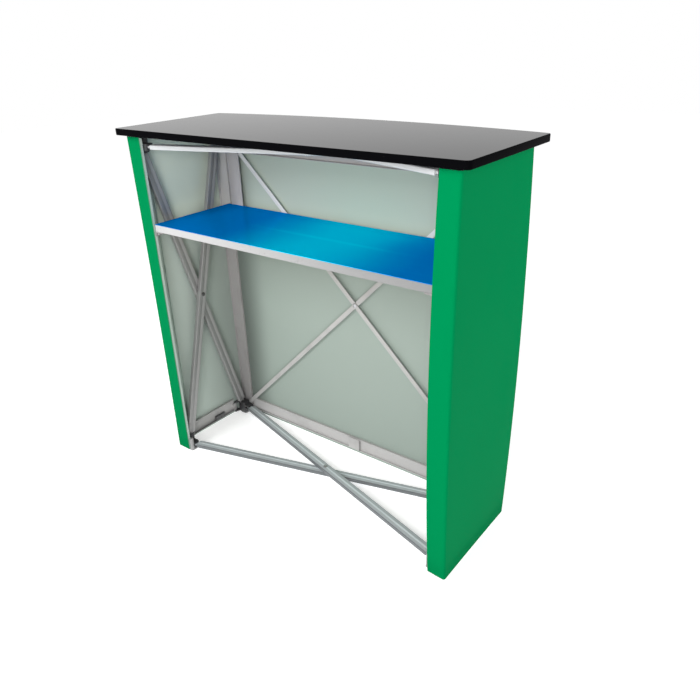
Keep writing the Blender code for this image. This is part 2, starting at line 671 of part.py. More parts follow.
def hanger(side):
    """Makes a bent strip that hooks over the top bar and carries the rear edge of the shelf."""
    thick = HANGER_THICKNESS
    rear = CUSTOMER_Y - BRACE_INNER - BRACE_THICKNESS - GAP
    front = rear - thick
    under = SHELF_HEIGHT - SHELF_THICKNESS - GAP
    over = REAR_TOP_BAR_LOW + REAR_BAR_HEIGHT + GAP
    hook = CUSTOMER_Y - SKIN
    outline = [(front - HANGER_TOE, under - thick), (rear, under - thick), (rear, over), (hook, over),
               (hook, over + thick), (front, over + thick), (front, under), (front - HANGER_TOE, under)]
    outer = PANEL_WIDTH / 2 - SKIN - BAR_WIDTH - HANGER_FROM_BAR
    rings = [[(side * x, y, z) for y, z in outline] for x in (outer - HANGER_WIDTH, outer)]
    made = loft(f"shelf_hanger_{SIDE_NAMES[side]}", rings, "brace_white")
    # The outer corner of the hook is left out, where a brace passes behind the strip
    clear = rectangle((front - EAR, over - GAP), (hook + EAR, over + thick + EAR))
    room = [[(side * x, y, z) for y, z in clear] for x in (outer - HOOK_INSET, outer + EAR)]
    cut(made, loft(made.name + "_corner", room))
    return made


def bracket(side):
    """Makes a bent bracket on a staff-side bar that carries a front corner of the shelf."""
    place = corner_place(side, STAFF, FLOOR)
    thick = HANGER_THICKNESS
    under = SHELF_HEIGHT - SHELF_THICKNESS - GAP
    near, far, foot_of_leg = FLANGE_WIDTH, FLANGE_WIDTH + BRACKET_REACH, under - BRACKET_DROP
    outline = [(near, foot_of_leg), (near + thick, foot_of_leg), (near + thick, under - thick),
               (far, under - thick), (far, under), (near, under)]
    start = SKIN + BAR_WALL
    return lengthwise(f"shelf_bracket_{SIDE_NAMES[side]}", place, outline, start, start + BRACKET_LENGTH,
                      "brace_white")


def top_outline(inset):
    """Returns the top's outline, straight to the staff and bowed to the customer, set in by a distance."""
    half = PANEL_WIDTH / 2 + TOP_SIDE_OVERHANG
    front = STAFF_Y - TOP_STAFF_OVERHANG
    corner = CUSTOMER_Y + TOP_CUSTOMER_OVERHANG
    bow_radius = (half * half + TOP_BOW * TOP_BOW) / (2 * TOP_BOW)
    bow_centre = corner + TOP_BOW - bow_radius
    radius = TOP_CORNER_RADIUS - inset
    # The rear corner's arc touches the side and the bow
    x = half - TOP_CORNER_RADIUS
    y = bow_centre + math.sqrt((bow_radius - TOP_CORNER_RADIUS) ** 2 - x * x)
    turn = math.degrees(math.atan2(y - bow_centre, x))
    points = arc((x, front + TOP_CORNER_RADIUS), radius, 270, 360, 4)
    points += arc((x, y), radius, 0, turn, 4)
    points += arc((0, bow_centre), bow_radius - inset, turn, 180 - turn, 24)[1:-1]
    points += arc((-x, y), radius, 180 - turn, 180, 4)
    points += arc((-x, front + TOP_CORNER_RADIUS), radius, 180, 270, 4)
    return points


def top():
    """Makes the loose top: a board with blind holes for the hubs' pegs, inside a black edge band."""
    low, high = TOP_UNDERSIDE, TOP_HEIGHT
    band = upright("top_edging", world, top_outline(0), low, high, "top_black")
    inside = top_outline(EDGING_THICKNESS)
    cut(band, upright("top_edging_inside", world, inside, low - TOP_THICKNESS, high + TOP_THICKNESS))
    core = top_outline(EDGING_THICKNESS + GAP)
    board = upright("top_board", world, core, low, high, "top_black")
    for side in (LEFT, RIGHT):
        for end in (STAFF, CUSTOMER):
            place = corner_place(side, end, FLOOR)
            hole = circle(peg_centre(end), PEG_RADIUS + 2 * PLAY, 16)
            name = f"top_hole_{END_NAMES[end]}_{SIDE_NAMES[side]}"
            cut(board, upright(name, place, hole, low - PEG_HEIGHT, low + PEG_HEIGHT + EAR / 2))


def main():
    clear_scene()
    for level in (FLOOR, TOP):
        for end in (STAFF, CUSTOMER):
            for side in (LEFT, RIGHT):
                hub(side, end, level)
        level_struts(level)
    for side in (LEFT, RIGHT):
        side_struts(side)
        staff_bar(side)
        customer_bar(side)
        end_panel(side)
        hanger(side)
        bracket(side)
        for end in (STAFF, CUSTOMER):
            lock_arm(side, end)
            coupler(side, end)
            foot(side, end)
    customer_braces()
    customer_level_bars()
    customer_panel()
    shelf()
    top()


main()
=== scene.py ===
"""Looks of a pop-up counter: its sheets, top, shelf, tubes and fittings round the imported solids.

Metres, +Z up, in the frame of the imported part. The open staff side faces -Y and the customers' +Y.
"""

import json
import logging
import math
from dataclasses import dataclass
from enum import Enum
from typing import Any

import bmesh
import bpy
import numpy as np
from mathutils import Matrix, Vector


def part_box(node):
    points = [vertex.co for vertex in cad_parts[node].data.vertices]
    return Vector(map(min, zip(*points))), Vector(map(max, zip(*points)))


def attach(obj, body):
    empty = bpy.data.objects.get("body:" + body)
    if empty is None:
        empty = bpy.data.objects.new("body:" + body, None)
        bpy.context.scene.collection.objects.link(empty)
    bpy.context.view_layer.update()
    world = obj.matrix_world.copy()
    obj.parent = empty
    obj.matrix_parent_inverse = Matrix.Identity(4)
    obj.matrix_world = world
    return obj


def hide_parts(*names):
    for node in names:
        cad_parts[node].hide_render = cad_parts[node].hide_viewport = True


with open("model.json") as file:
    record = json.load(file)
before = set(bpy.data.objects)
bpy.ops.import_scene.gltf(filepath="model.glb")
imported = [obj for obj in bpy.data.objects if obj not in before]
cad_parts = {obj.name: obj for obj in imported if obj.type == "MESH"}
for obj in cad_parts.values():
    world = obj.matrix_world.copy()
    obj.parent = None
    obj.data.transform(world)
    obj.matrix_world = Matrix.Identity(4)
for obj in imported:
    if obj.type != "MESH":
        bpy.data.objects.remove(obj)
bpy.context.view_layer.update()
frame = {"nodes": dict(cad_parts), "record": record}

Array = np.ndarray
Colour = tuple[float, float, float]
Triple = tuple[float, float, float]
Pair = tuple[float, float]
Lifts = tuple[Pair, Pair, Pair]

LOG = logging.getLogger("counter")
BODY_OF = {node: body for body, nodes in frame["record"]["behaviour"]["bodies"].items()
           for node in nodes}
STRAIGHT: Lifts = ((0.0, 0.0), (0.0, 0.0), (0.0, 0.0))
SHELF_LINE: Pair = (0.66, 0.74)
MERGE_DISTANCE = 1e-6
FLAT_ANGLE = math.radians(1)
SHARP_ANGLE = math.radians(32)
TIP_DEPTH = 0.0004
LEVEL_FALL = 0.01


class Coords(Enum):
    """What a pattern follows: the place in the part, a piece's own length, or a direction."""

    OBJECT = "Object"
    OWN = "own"
    DIRECTION = "Generated"


class Axis(Enum):
    """The axes of the coordinates that a pattern follows."""

    X = "X"
    Y = "Y"
    Z = "Z"


class Sides(Enum):
    """The two ends of the counter, with the sign of x that each has."""

    LEFT = -1
    RIGHT = 1


class Wire:
    """An output socket that takes part in Python expressions, each of which adds a Math node."""

    def __init__(self, graph: "Graph", socket: bpy.types.NodeSocket) -> None:
        """Keeps the socket and the graph that it belongs to."""
        self.graph = graph
        self.socket = socket

    def __add__(self, other: "Wire | float") -> "Wire":
        """Adds, in either order."""
        return self.graph.maths("ADD", self, other)

    def __sub__(self, other: "Wire | float") -> "Wire":
        """Subtracts."""
        return self.graph.maths("SUBTRACT", self, other)

    def __rsub__(self, other: float) -> "Wire":
        """Subtracts from a number."""
        return self.graph.maths("SUBTRACT", other, self)

    def __mul__(self, other: "Wire | float") -> "Wire":
        """Multiplies, in either order."""
        return self.graph.maths("MULTIPLY", self, other)

    __radd__, __rmul__ = __add__, __mul__


def toned(colour: Colour, share: float) -> Colour:
    """Returns a share of a colour, at most 1 in each channel."""
    return tuple(min(1.0, share * c) for c in colour)


class Graph:
    """The nodes of one material or surround, with its shader at the end."""

    def __init__(self, tree: bpy.types.NodeTree, coords: Coords,
                 shader: str = "Principled BSDF") -> None:
        """Finds the shader and makes the coordinates that patterns follow.

        Args:
            tree: the node tree.
            coords: what the patterns follow.
            shader: the name of the shader.
        """
        self.tree = tree
        self.shader = tree.nodes[shader]
        if coords is Coords.OWN:
            self.place = self.node("ShaderNodeAttribute", {"attribute_name": "own"}, {}, "Vector")
        else:
            self.place = self.node("ShaderNodeTexCoord", {}, {}, coords.value)

    def node(self, kind: str, settings: dict[str, Any], inputs: dict[str, Any],
             output: str) -> Wire:
        """Adds any node.

        Args:
            kind: the node's type.
            settings: its properties, set first.
            inputs: values or wires by a socket's identifier or name.
            output: the name of the output that is wanted.

        Returns:
            The wire from that output.
        """
        made = self.tree.nodes.new(kind)
        for key, value in settings.items():
            setattr(made, key, value)
        for key, value in inputs.items():
            known = [s for s in made.inputs if s.identifier == key]
            known += [s for s in made.inputs if s.name == key]
            self.feed(known[0], value)
        found = [s for s in made.outputs if s.name == output and s.enabled]
        return Wire(self, found[0])

    def feed(self, socket: bpy.types.NodeSocket, value: Any) -> None:
        """Links a wire to a socket, or sets the socket's own value.

        Args:
            socket: an input.
            value: a wire, a number, a vector or a colour.
        """
        if isinstance(value, Wire):
            self.tree.links.new(value.socket, socket)
        elif isinstance(value, tuple) and len(value) == 3 and len(socket.default_value) == 4:
            socket.default_value = (*value, 1.0)
        else:
            socket.default_value = value

    def set(self, name: str, value: Any) -> None:
        """Gives a value or a wire to one of the shader's sockets."""
        self.feed(self.shader.inputs[name], value)

    def maths(self, operation: str, first: "Wire | float", second: "Wire | float") -> Wire:
        """Adds a Math node of that operation."""
        inputs = {"Value": first, "Value_001": second}
        return self.node("ShaderNodeMath", {"operation": operation}, inputs, "Value")

    def noise(self, scale: float, detail: float, stretch: Triple = (1.0, 1.0, 1.0)) -> Wire:
        """Adds soft noise from 0 to 1; scale times an axis's stretch is its waves to the metre."""
        seat = self.node("ShaderNodeMapping", {}, {"Vector": self.place, "Scale": stretch},
                         "Vector")
        return self.node("ShaderNodeTexNoise", {},
                         {"Vector": seat, "Scale": scale, "Detail": detail}, "Fac")

    def step(self, value: Wire, low: float, high: float, first: float = 0.0,
             last: float = 1.0) -> Wire:
        """Adds a smooth step from the first value at low to the last at high."""
        limits = {"From Min": low, "From Max": high, "To Min": first, "To Max": last}
        return self.node("ShaderNodeMapRange", {"interpolation_type": "SMOOTHSTEP"},
                         {"Value": value, **limits}, "Result")

    def mix(self, mask: Wire, first: "Wire | Colour", second: "Wire | Colour") -> Wire:
        """Adds a mix from the first colour, where the mask is 0, to the second."""
        inputs = {"Factor_Float": mask, "A_Color": first, "B_Color": second}
        return self.node("ShaderNodeMix", {"data_type": "RGBA"}, inputs, "Result")

    def shade(self, colour: Colour, low: float, high: float, mask: Wire) -> Wire:
        """Adds a mix between two shares of one colour."""
        return self.mix(mask, toned(colour, low), toned(colour, high))

    def wipes(self) -> Wire:
        """Adds hairline wiping marks along X."""
        return self.step(self.noise(1.0, 6.0, (4.0, 160.0, 4.0)), 0.55, 0.8)

    def bump(self, height: Wire, strength: float, distance: float) -> None:
        """Feeds the shader's normal from a height, which stands for that distance in metres."""
        inputs = {"Height": height, "Strength": strength, "Distance": distance}
        self.set("Normal", self.node("ShaderNodeBump", {}, inputs, "Normal"))

    def axis(self, axis: Axis) -> Wire:
        """Returns one axis of the coordinates."""
        return self.node("ShaderNodeSeparateXYZ", {}, {"Vector": self.place}, axis.value)

    def away(self, axis: Axis, place: float = 0.0) -> Wire:
        """Returns how far a point is from a place on one axis."""
        return self.maths("ABSOLUTE", self.axis(axis) - place, 0.0)

    def facing(self, axis: Axis) -> Wire:
        """Returns one axis of the surface's own normal."""
        normal = self.node("ShaderNodeTexCoord", {}, {}, "Normal")
        return self.node("ShaderNodeSeparateXYZ", {}, {"Vector": normal}, axis.value)


@dataclass(frozen=True)
class Finish:
    """A finish: constants are set on the shader, and vary() wires what changes over a surface."""

    name: str
    colour: Colour
    roughness: float
    coords: Coords = Coords.OBJECT
    metallic: float = 0.0
    specular: float = 0.5
    sheen_of_gloss: Colour = (1.0, 1.0, 1.0)

    def material(self) -> bpy.types.Material:
        """Makes the material once.

        Returns:
            The material.
        """
        found = bpy.data.materials.get(self.name)
        if found:
            return found
        made = bpy.data.materials.new(self.name)
        made.use_nodes = True
        made.diffuse_color = (*self.colour, 1.0)
        graph = Graph(made.node_tree, self.coords)
        graph.set("Metallic", self.metallic)
        graph.set("Specular IOR Level", self.specular)
        graph.set("Specular Tint", self.sheen_of_gloss)
        self.vary(graph)
        return made

    def vary(self, graph: Graph) -> None:
        """Wires colour, roughness and relief over the surface."""
        raise NotImplementedError


@dataclass(frozen=True)
class PrintedSheet(Finish):
    """Satin print on plastic: faint tone drift, orange peel, handling marks and a scuffed foot."""

    scuff_height: float = 0.05

    def vary(self, graph: Graph) -> None:
        """Drifts the colour by a few per cent, lifts the roughness in smudges and scuffs the foot.

        Args:
            graph: the material's nodes.
        """
        drift = graph.noise(2.3, 3.0)
        smudge = graph.step(graph.noise(9.0, 5.0, (1.0, 1.0, 0.35)), 0.52, 0.72)
        peel = graph.noise(520.0, 2.0)
        below = self.scuff_height - graph.axis(Axis.Z)
        scuff = graph.step(below + 0.03 * graph.noise(30.0, 4.0), 0.0, self.scuff_height)
        marking = graph.shade(self.colour, 0.72, 0.8, drift)
        fresh = graph.shade(self.colour, 0.95, 1.05, drift)
        graph.set("Base Color", graph.mix(0.35 * scuff, fresh, marking))
        graph.set("Roughness", self.roughness + 0.08 * smudge + 0.04 * peel + 0.1 * scuff)
        graph.bump(peel, 0.12, 0.0002)


@dataclass(frozen=True)
class SheetBack(Finish):
    """The unprinted back of a sheet: pale, with fine fibres, soft patches and painted light above.

    The lower part is a share of the colour, painted shade, and the upper part a share of each
    channel, painted light. Over the reach before the corner post's place on one axis it darkens
    to one share of its colour, and its upper part to a second share: painted shade in the corner.
    """

    low_shade: float = 0.80
    upper_light: Colour = (1.36, 1.29, 1.23)
    upper_light_height: Pair = (0.68, 0.75)
    post_axis: Axis = Axis.X
    post_at: float = 0.437
    post_reach: float = 0.11
    painted_shade: float = 0.5
    high_painted_shade: float = 0.5

    def vary(self, graph: Graph) -> None:
        """Mixes fine speckle, broad patches, painted shade and painted light into the colour.

        Args:
            graph: the material's nodes.
        """
        speck = graph.noise(700.0, 3.0)
        patch = graph.noise(3.1, 2.0)
        # Painted light above the shelf line, painted shade below it.
        rise = graph.step(graph.axis(Axis.Z) + 0.02 * (patch - 0.5), *self.upper_light_height)
        tone = rise + 0.07 * (patch - 0.5) + 0.05 * (speck - 0.5)
        both_ends = self.post_axis is Axis.X
        way = graph.away(Axis.X) if both_ends else graph.axis(self.post_axis)
        # Painted shade: darker over the reach before the corner post.
        post_shade = graph.step(way, self.post_at - self.post_reach, self.post_at)
        low = toned(self.colour, self.low_shade)
        high = tuple(share * c for share, c in zip(self.upper_light, self.colour))
        off_post = graph.mix(tone, low, high)
        dark = graph.mix(tone, toned(low, self.painted_shade), toned(high, self.high_painted_shade))
        graph.set("Base Color", graph.mix(post_shade, off_post, dark))
        graph.set("Roughness", self.roughness + 0.12 * (speck - 0.5))
        graph.bump(speck, 0.15, 0.00015)


@dataclass(frozen=True)
class AnodisedTube(Finish):
    """Satin anodised aluminium: fine die lines, dull smudges and a line down each wide face.

    The line is glossier, and its tone a share of the colour: above 1 for a painted highlight
    on the ridge, below 1 for painted shade in a groove. One half of a wide face is paler than the
    colour and the other darker, by the same share: painted light and shade. The narrow sides have
    their own share of the colour, below 1 for painted shade.
    """

    coords: Coords = Coords.OWN
    metallic: float = 0.3
    line: float = 1.7
    line_width: float = 0.0022
    half_width: float = 0.013
    half_edge: float = 0.002
    half_shade: float = 0.0
    flank_shade: float = 1.0
    flank_edge: Pair = (0.0022, 0.0008)

    def vary(self, graph: Graph) -> None:
        """Draws die lines, the painted middle line and painted halves along the tube's own length.

        Args:
            graph: the material's nodes.
        """
        lines = graph.noise(1.0, 3.0, (3.0, 1400.0, 1400.0))
        smudge = graph.noise(24.0, 4.0, (0.5, 1.0, 1.0))
        off_middle = graph.away(Axis.Y)
        # Painted highlight on the top and floor tubes, painted shade in the end tubes' groove.
        line = 1.0 - graph.step(off_middle, 0.3 * self.line_width, self.line_width)
        marking = line * (0.6 + 0.4 * smudge)
        # Painted shade on the narrow sides where their share is below 1.
        flank_shade = graph.step(off_middle, *(self.half_width - edge for edge in self.flank_edge))
        # Painted light and shade: one half of a wide face paler, the other darker.
        half = graph.step(graph.axis(Axis.Y), -self.half_edge, self.half_edge)
        drift = (0.5 - self.half_shade) * (lines + smudge) + 2.0 * self.half_shade * half
        ground = graph.shade(self.colour, 0.88 - self.half_shade, 1.1 + self.half_shade, drift)
        face = graph.mix(marking, ground, toned(self.colour, self.line))
        graph.set("Base Color", graph.mix(flank_shade, face, toned(self.colour, self.flank_shade)))
        dull = 0.14 * (lines - 0.5) + 0.1 * (smudge - 0.5) - 0.1 * marking
        graph.set("Roughness", self.roughness + dull)
        graph.bump(lines, 0.1, 0.0001)


@dataclass(frozen=True)
class PowderCoat(Finish):
    """Baked powder paint: an orange-peel skin, slightly darker where hands and tape have marked it.

    Below a height, by default the shelf's, it is darker, a share of its colour: painted shade.
    """

    specular: float = 0.3
    painted_shade: float = 1.0
    painted_shade_height: Pair = SHELF_LINE

    def vary(self, graph: Graph) -> None:
        """Mixes marks and painted shade into the colour, and orange peel into the relief.

        Args:
            graph: the material's nodes.
        """
        peel = graph.noise(900.0, 2.0)
        marks = graph.step(graph.noise(14.0, 5.0), 0.5, 0.75)
        # Painted shade: a darker share of the colour below the height.
        upper_light, dark = (graph.shade(toned(self.colour, share), 1.03, 0.9, marks)
                       for share in (1.0, self.painted_shade))
        height = graph.step(graph.axis(Axis.Z), *self.painted_shade_height)
        graph.set("Base Color", graph.mix(height, dark, upper_light))
        graph.set("Roughness", self.roughness + 0.1 * (peel - 0.5) + 0.06 * marks)
        graph.bump(peel, 0.18, 0.00015)


@dataclass(frozen=True)
class MouldedPlastic(Finish):
    """Moulded plastic with a spark-eroded grain and a paler bloom where it rubs."""

    def vary(self, graph: Graph) -> None:
        """Mixes bloom into the colour, and the grain into roughness and relief.

        Args:
            graph: the material's nodes.
        """
        grain = graph.noise(1500.0, 3.0)
        bloom = graph.step(graph.noise(55.0, 5.0), 0.5, 0.8)
        pale = tuple(min(1.0, 1.6 * c + 0.01) for c in self.colour)
        graph.set("Base Color", graph.mix(0.6 * bloom, self.colour, pale))
        graph.set("Roughness", self.roughness + 0.16 * (grain - 0.5) + 0.08 * bloom)
        graph.bump(grain, 0.25, 0.00015)


@dataclass(frozen=True)
class PlatedSteel(Finish):
    """Plated steel: small pits and faint stains on its ground."""

    def vary(self, graph: Graph) -> None:
        """Mixes stains into the colour and roughness, and pits into the relief.

        Args:
            graph: the material's nodes.
        """
        stain = graph.noise(160.0, 4.0)
        pits = graph.step(graph.noise(1900.0, 2.0), 0.6, 0.75)
        graph.set("Base Color", graph.shade(self.colour, 0.85, 1.08, stain))
        graph.set("Roughness", self.roughness + 0.2 * (stain - 0.5) + 0.1 * pits)
        graph.bump(1.0 - pits, 0.15, 0.0001)


@dataclass(frozen=True)
class GlossLaminate(Finish):
    """Gloss laminate on a board: wiping marks, dust and a ripple, with a dull backing below."""

    backing: Colour = (0.05, 0.05, 0.055)
    backing_roughness: float = 0.55
    drift: float = 0.06
    dust: Colour = (0.5, 0.5, 0.5)

    def vary(self, graph: Graph) -> None:
        """Mixes dust and drift into the colour, wipes into the roughness, a ripple into the relief.

        Args:
            graph: the material's nodes.
        """
        above = graph.step(graph.facing(Axis.Z), -0.6, -0.3)
        dust = graph.step(graph.noise(1300.0, 1.0), 0.72, 0.8)
        broad = graph.noise(4.2, 2.0)
        face = graph.shade(self.colour, 1.0 - self.drift, 1.0 + self.drift, broad)
        dusty = graph.mix(0.1 * dust, face, self.dust)
        graph.set("Base Color", graph.mix(above, self.backing, dusty))
        gloss = self.roughness + 0.035 * graph.wipes() + 0.08 * dust
        dull = self.backing_roughness + 0.1 * broad
        graph.set("Roughness", above * gloss + (1.0 - above) * dull)
        graph.bump(graph.noise(60.0, 2.0), 0.03, 0.0002)


@dataclass(frozen=True)
class PaintedHighlightLaminate(Finish):
    """Blue metal-look laminate, with a painted highlight and painted reflection streak mid-length.
    """

    pale: Colour = (0.0, 0.74, 1.0)
    middle: float = 0.06
    reach: float = 0.29
    streak: float = -0.045
    streak_width: float = 0.012

    def vary(self, graph: Graph) -> None:
        """Mixes painted highlight, painted streak and wiping marks into colour and roughness.

        Args:
            graph: the material's nodes.
        """
        broad = graph.noise(5.0, 2.0)
        wipes = graph.wipes()
        # Painted highlight: paler towards the middle of the length.
        from_middle = graph.away(Axis.X, self.middle) + 0.1 * (broad - 0.5)
        pale = 1.0 - graph.step(from_middle, 0.02, self.reach)
        # Painted reflection: a brighter streak within the highlight.
        from_streak = graph.away(Axis.Y, self.streak)
        streak = (1.0 - graph.step(from_streak, 0.0, self.streak_width)) * pale
        share = 0.85 * pale + 0.25 * streak + 0.05 * wipes
        graph.set("Base Color", graph.mix(share, self.colour, self.pale))
        graph.set("Roughness", self.roughness + 0.04 * wipes + 0.05 * broad)
        graph.bump(graph.noise(60.0, 2.0), 0.03, 0.0002)


@dataclass(frozen=True)
class EdgeStrip(Finish):
    """Plastic edge band: fine lines along its height from the cutter, and small knocks.

    Along its length it is darker towards the right, to a share of its colour: painted shade.
    """

    dull: float = 1.0
    length: float = 0.86

    def vary(self, graph: Graph) -> None:
        """Draws cutter lines into the roughness, knocks into colour and relief, and painted shade
        along.

        Args:
            graph: the material's nodes.
        """
        lines = graph.noise(1.0, 2.0, (2.0, 2.0, 1500.0))
        knocks = graph.step(graph.noise(70.0, 4.0), 0.62, 0.78)
        bright, dark = (graph.shade(toned(self.colour, share), 1.02, 0.86, knocks)
                        for share in (1.0, self.dull))
        # Painted shade: darker towards the right end.
        along = graph.step(graph.axis(Axis.X), -self.length / 2, self.length / 2)
        graph.set("Base Color", graph.mix(along, bright, dark))
        graph.set("Roughness", self.roughness + 0.06 * lines + 0.1 * knocks)
        graph.bump(lines - 0.4 * knocks, 0.08, 0.0001)


@dataclass(frozen=True)
class ChipBoard(Finish):
    """Pressed board: chips of pale and dark wood, coarse to the touch."""

    def vary(self, graph: Graph) -> None:
        """Mixes chips into the colour and relief.

        Args:
            graph: the material's nodes.
        """
        chips = graph.noise(260.0, 4.0, (1.0, 2.2, 1.0))
        graph.set("Base Color", graph.shade(self.colour, 0.55, 1.35, chips))
        graph.set("Roughness", self.roughness + 0.1 * (chips - 0.5))
        graph.bump(chips, 0.3, 0.0003)


@dataclass(frozen=True)
class LightTable(Finish):
    """A floor that glows as a light table does, a little less within its reach of the counter."""

    glow: Pair = (0.50, 0.62)
    reach: Pair = (0.6, 2.0)

    def vary(self, graph: Graph) -> None:
        """Wires the glow to the distance from the counter's middle.

        Args:
            graph: the material's nodes.
        """
        length = {"operation": "LENGTH"}
        away = graph.node("ShaderNodeVectorMath", length, {"Vector": graph.place}, "Value")
        graph.set("Base Color", self.colour)
        graph.set("Roughness", self.roughness)
        graph.set("Emission Color", graph.step(away, *self.reach, *self.glow))
        graph.set("Emission Strength", 1.0)


GREEN_PRINT = PrintedSheet("green_print", (0.0, 0.174, 0.0546), 0.42, specular=0.004,
                           sheen_of_gloss=(0.1, 0.8, 0.4))
# Sheet backs: painted shade below the shelf and near the corner post, painted light above.
SHEET_BACK = SheetBack("sheet_back", (0.318, 0.378, 0.338), 0.5, specular=0.2)
# The end sheets' back is the customer sheet's bare back in a paler copy: painted light.
LIT_END_SHEET_BACK = SheetBack("end_sheet_back", (0.55, 0.635, 0.58), 0.5, specular=0.2,
                           upper_light=(1.18, 1.14, 1.07), post_axis=Axis.Y, post_at=0.11,
                           post_reach=0.22, painted_shade=0.64, high_painted_shade=0.9)
SHEET_CORE = SheetBack("sheet_core", (0.30, 0.56, 0.42), 0.5, specular=0.3)
# One tube metal in lit and shaded copies: painted shade on the end tubes, painted light on the
# others.
SHADED_END_TUBE = AnodisedTube("end_tube", (0.31, 0.307, 0.305), 0.40, line=0.75, half_shade=0.14)
LIT_TOP_TUBE = AnodisedTube("top_tube", (0.52, 0.535, 0.545), 0.38)
LIT_FLOOR_TUBE = AnodisedTube("floor_tube", (0.48, 0.52, 0.54), 0.38, line_width=0.004, flank_shade=0.28)
BAR_PAINT = PowderCoat("bar_paint", (0.42, 0.40, 0.395), 0.45)
CORNER_PAINT = PowderCoat("corner_paint", (0.42, 0.505, 0.455), 0.45)
FLOOR_BAR_PAINT = PowderCoat("floor_bar_paint", (0.39, 0.385, 0.38), 0.45)
# Painted shade: uprights darker below the shelf, lock arms along their undersides.
UPRIGHT_PAINT = PowderCoat("upright_paint", (0.48, 0.465, 0.46), 0.45, painted_shade=0.63)
ARM_PAINT = PowderCoat("arm_paint", (0.37, 0.365, 0.36), 0.45, painted_shade=0.35,
                       painted_shade_height=(0.008, 0.034))
# Painted shade: the brace darker below the shelf.
BRACE_PAINT = PowderCoat("brace_paint", (0.62, 0.615, 0.60), 0.42, painted_shade=0.57)
HANGER_PAINT = PowderCoat("hanger_paint", (0.43, 0.41, 0.405), 0.42)
BRACKET_PAINT = PowderCoat("bracket_paint", (0.25, 0.24, 0.237), 0.42)
HUB_PLASTIC = MouldedPlastic("hub_plastic", (0.034, 0.034, 0.036), 0.40)
LATCH_PLASTIC = MouldedPlastic("latch_plastic", (0.07, 0.07, 0.072), 0.40)
FOOT_PLASTIC = MouldedPlastic("foot_plastic", (0.26, 0.26, 0.26), 0.5)
RIVET_STEEL = PlatedSteel("rivet_steel", (0.55, 0.55, 0.56), 0.28, metallic=1.0)
RIVET_BLACK = PlatedSteel("rivet_black", (0.12, 0.117, 0.118), 0.45, metallic=0.6)
TOP_GLOSS = GlossLaminate("top_gloss", (0.004, 0.004, 0.005), 0.06, specular=0.05)
TOP_BAND = EdgeStrip("top_band", (0.002, 0.002, 0.0025), 0.22, specular=0.004)
# The shelf's pale middle and streak are a painted highlight and a painted reflection.
SHELF_GLOSS = PaintedHighlightLaminate("shelf_gloss", (0.0, 0.22, 0.67), 0.13, metallic=0.35, specular=0.0,
                            sheen_of_gloss=(0.0, 0.5, 1.0))
# The shelf band is darker towards the right: painted shade.
SHELF_BAND = EdgeStrip("shelf_band", (0.41, 0.41, 0.41), 0.32, specular=0.2, dull=0.5)
BOARD_CORE = ChipBoard("board_core_chips", (0.42, 0.33, 0.24), 0.75)
FLOOR_GLOW = LightTable("floor", (0.80, 0.80, 0.80), 0.9, specular=0.0)


class Shell:
    """Grids of points that together bound one piece."""

    def __init__(self) -> None:
        """Starts with no grids."""
        self.points: list[Array] = []
        self.own: list[Array] = []
        self.faces: list[Array] = []
        self.looks: list[Array] = []
        self.total = 0

    def add(self, grid: Array, own: Array | None = None, around: bool = False, along: bool = False,
            look: int = 0) -> "Shell":
        """Adds a grid of points as quads.

        Args:
            grid: points, rows by columns by 3. A row of equal points is a pole.
            own: the piece's own coordinates of the points, or none for the points themselves.
            around: whether each row closes on itself.
            along: whether the last row joins the first.
            look: which of the piece's finishes these faces have.

        Returns:
            The shell itself.
        """
        rows, columns = grid.shape[:2]
        index = np.arange(rows * columns).reshape(rows, columns) + self.total
        if along:
            index = np.concatenate([index, index[:1]], 0)
        if around:
            index = np.concatenate([index, index[:, :1]], 1)
        corners = [index[:-1, :-1], index[:-1, 1:], index[1:, 1:], index[1:, :-1]]
        quads = np.stack(corners, -1).reshape(-1, 4)
        self.points.append(grid.reshape(-1, 3))
        self.own.append((grid if own is None else own).reshape(-1, 3))
        self.faces.append(quads)
        self.looks.append(np.full(len(quads), look))
        self.total += rows * columns
        return self

    def piece(self, name: str, finishes: list[Finish]) -> bpy.types.Object:
        """Joins the grids where they meet, turns the faces outwards and makes the object.

        Args:
            name: the piece's name.
            finishes: its finishes, in the order of the grids' looks.

        Returns:
            The object, at the origin.
        """
        mesh = bpy.data.meshes.new(name)
        points, faces = np.concatenate(self.points), np.concatenate(self.faces)
        mesh.from_pydata(points.tolist(), [], faces.tolist())
        looks = np.concatenate(self.looks).astype(np.int32)
        mesh.polygons.foreach_set("material_index", looks)
        own = mesh.attributes.new("own", "FLOAT_VECTOR", "POINT")
        own.data.foreach_set("vector", np.concatenate(self.own).astype(np.float32).ravel())
        made = bmesh.new()
        made.from_mesh(mesh)
        bmesh.ops.remove_doubles(made, verts=made.verts, dist=MERGE_DISTANCE)
        bmesh.ops.recalc_face_normals(made, faces=made.faces)
        return rounded_object(name, mesh, made, finishes)


def rounded_object(name: str, mesh: bpy.types.Mesh, made: bmesh.types.BMesh,
                   finishes: list[Finish]) -> bpy.types.Object:
    """Writes a working mesh back, smooth but for its sharp edges, and links its object.

    Args:
        name: the piece's name.
        mesh: the mesh that takes the result.
        made: the working mesh, which is freed.
        finishes: the piece's finishes.

    Returns:
        The object.
    """
    made.to_mesh(mesh)
    made.free()
    mesh.polygons.foreach_set("use_smooth", np.ones(len(mesh.polygons), bool))
    mesh.set_sharp_from_angle(angle=SHARP_ANGLE)
    for finish in finishes:
        mesh.materials.append(finish.material())
    obj = bpy.data.objects.new(name, mesh)
    bpy.context.scene.collection.objects.link(obj)
    return obj


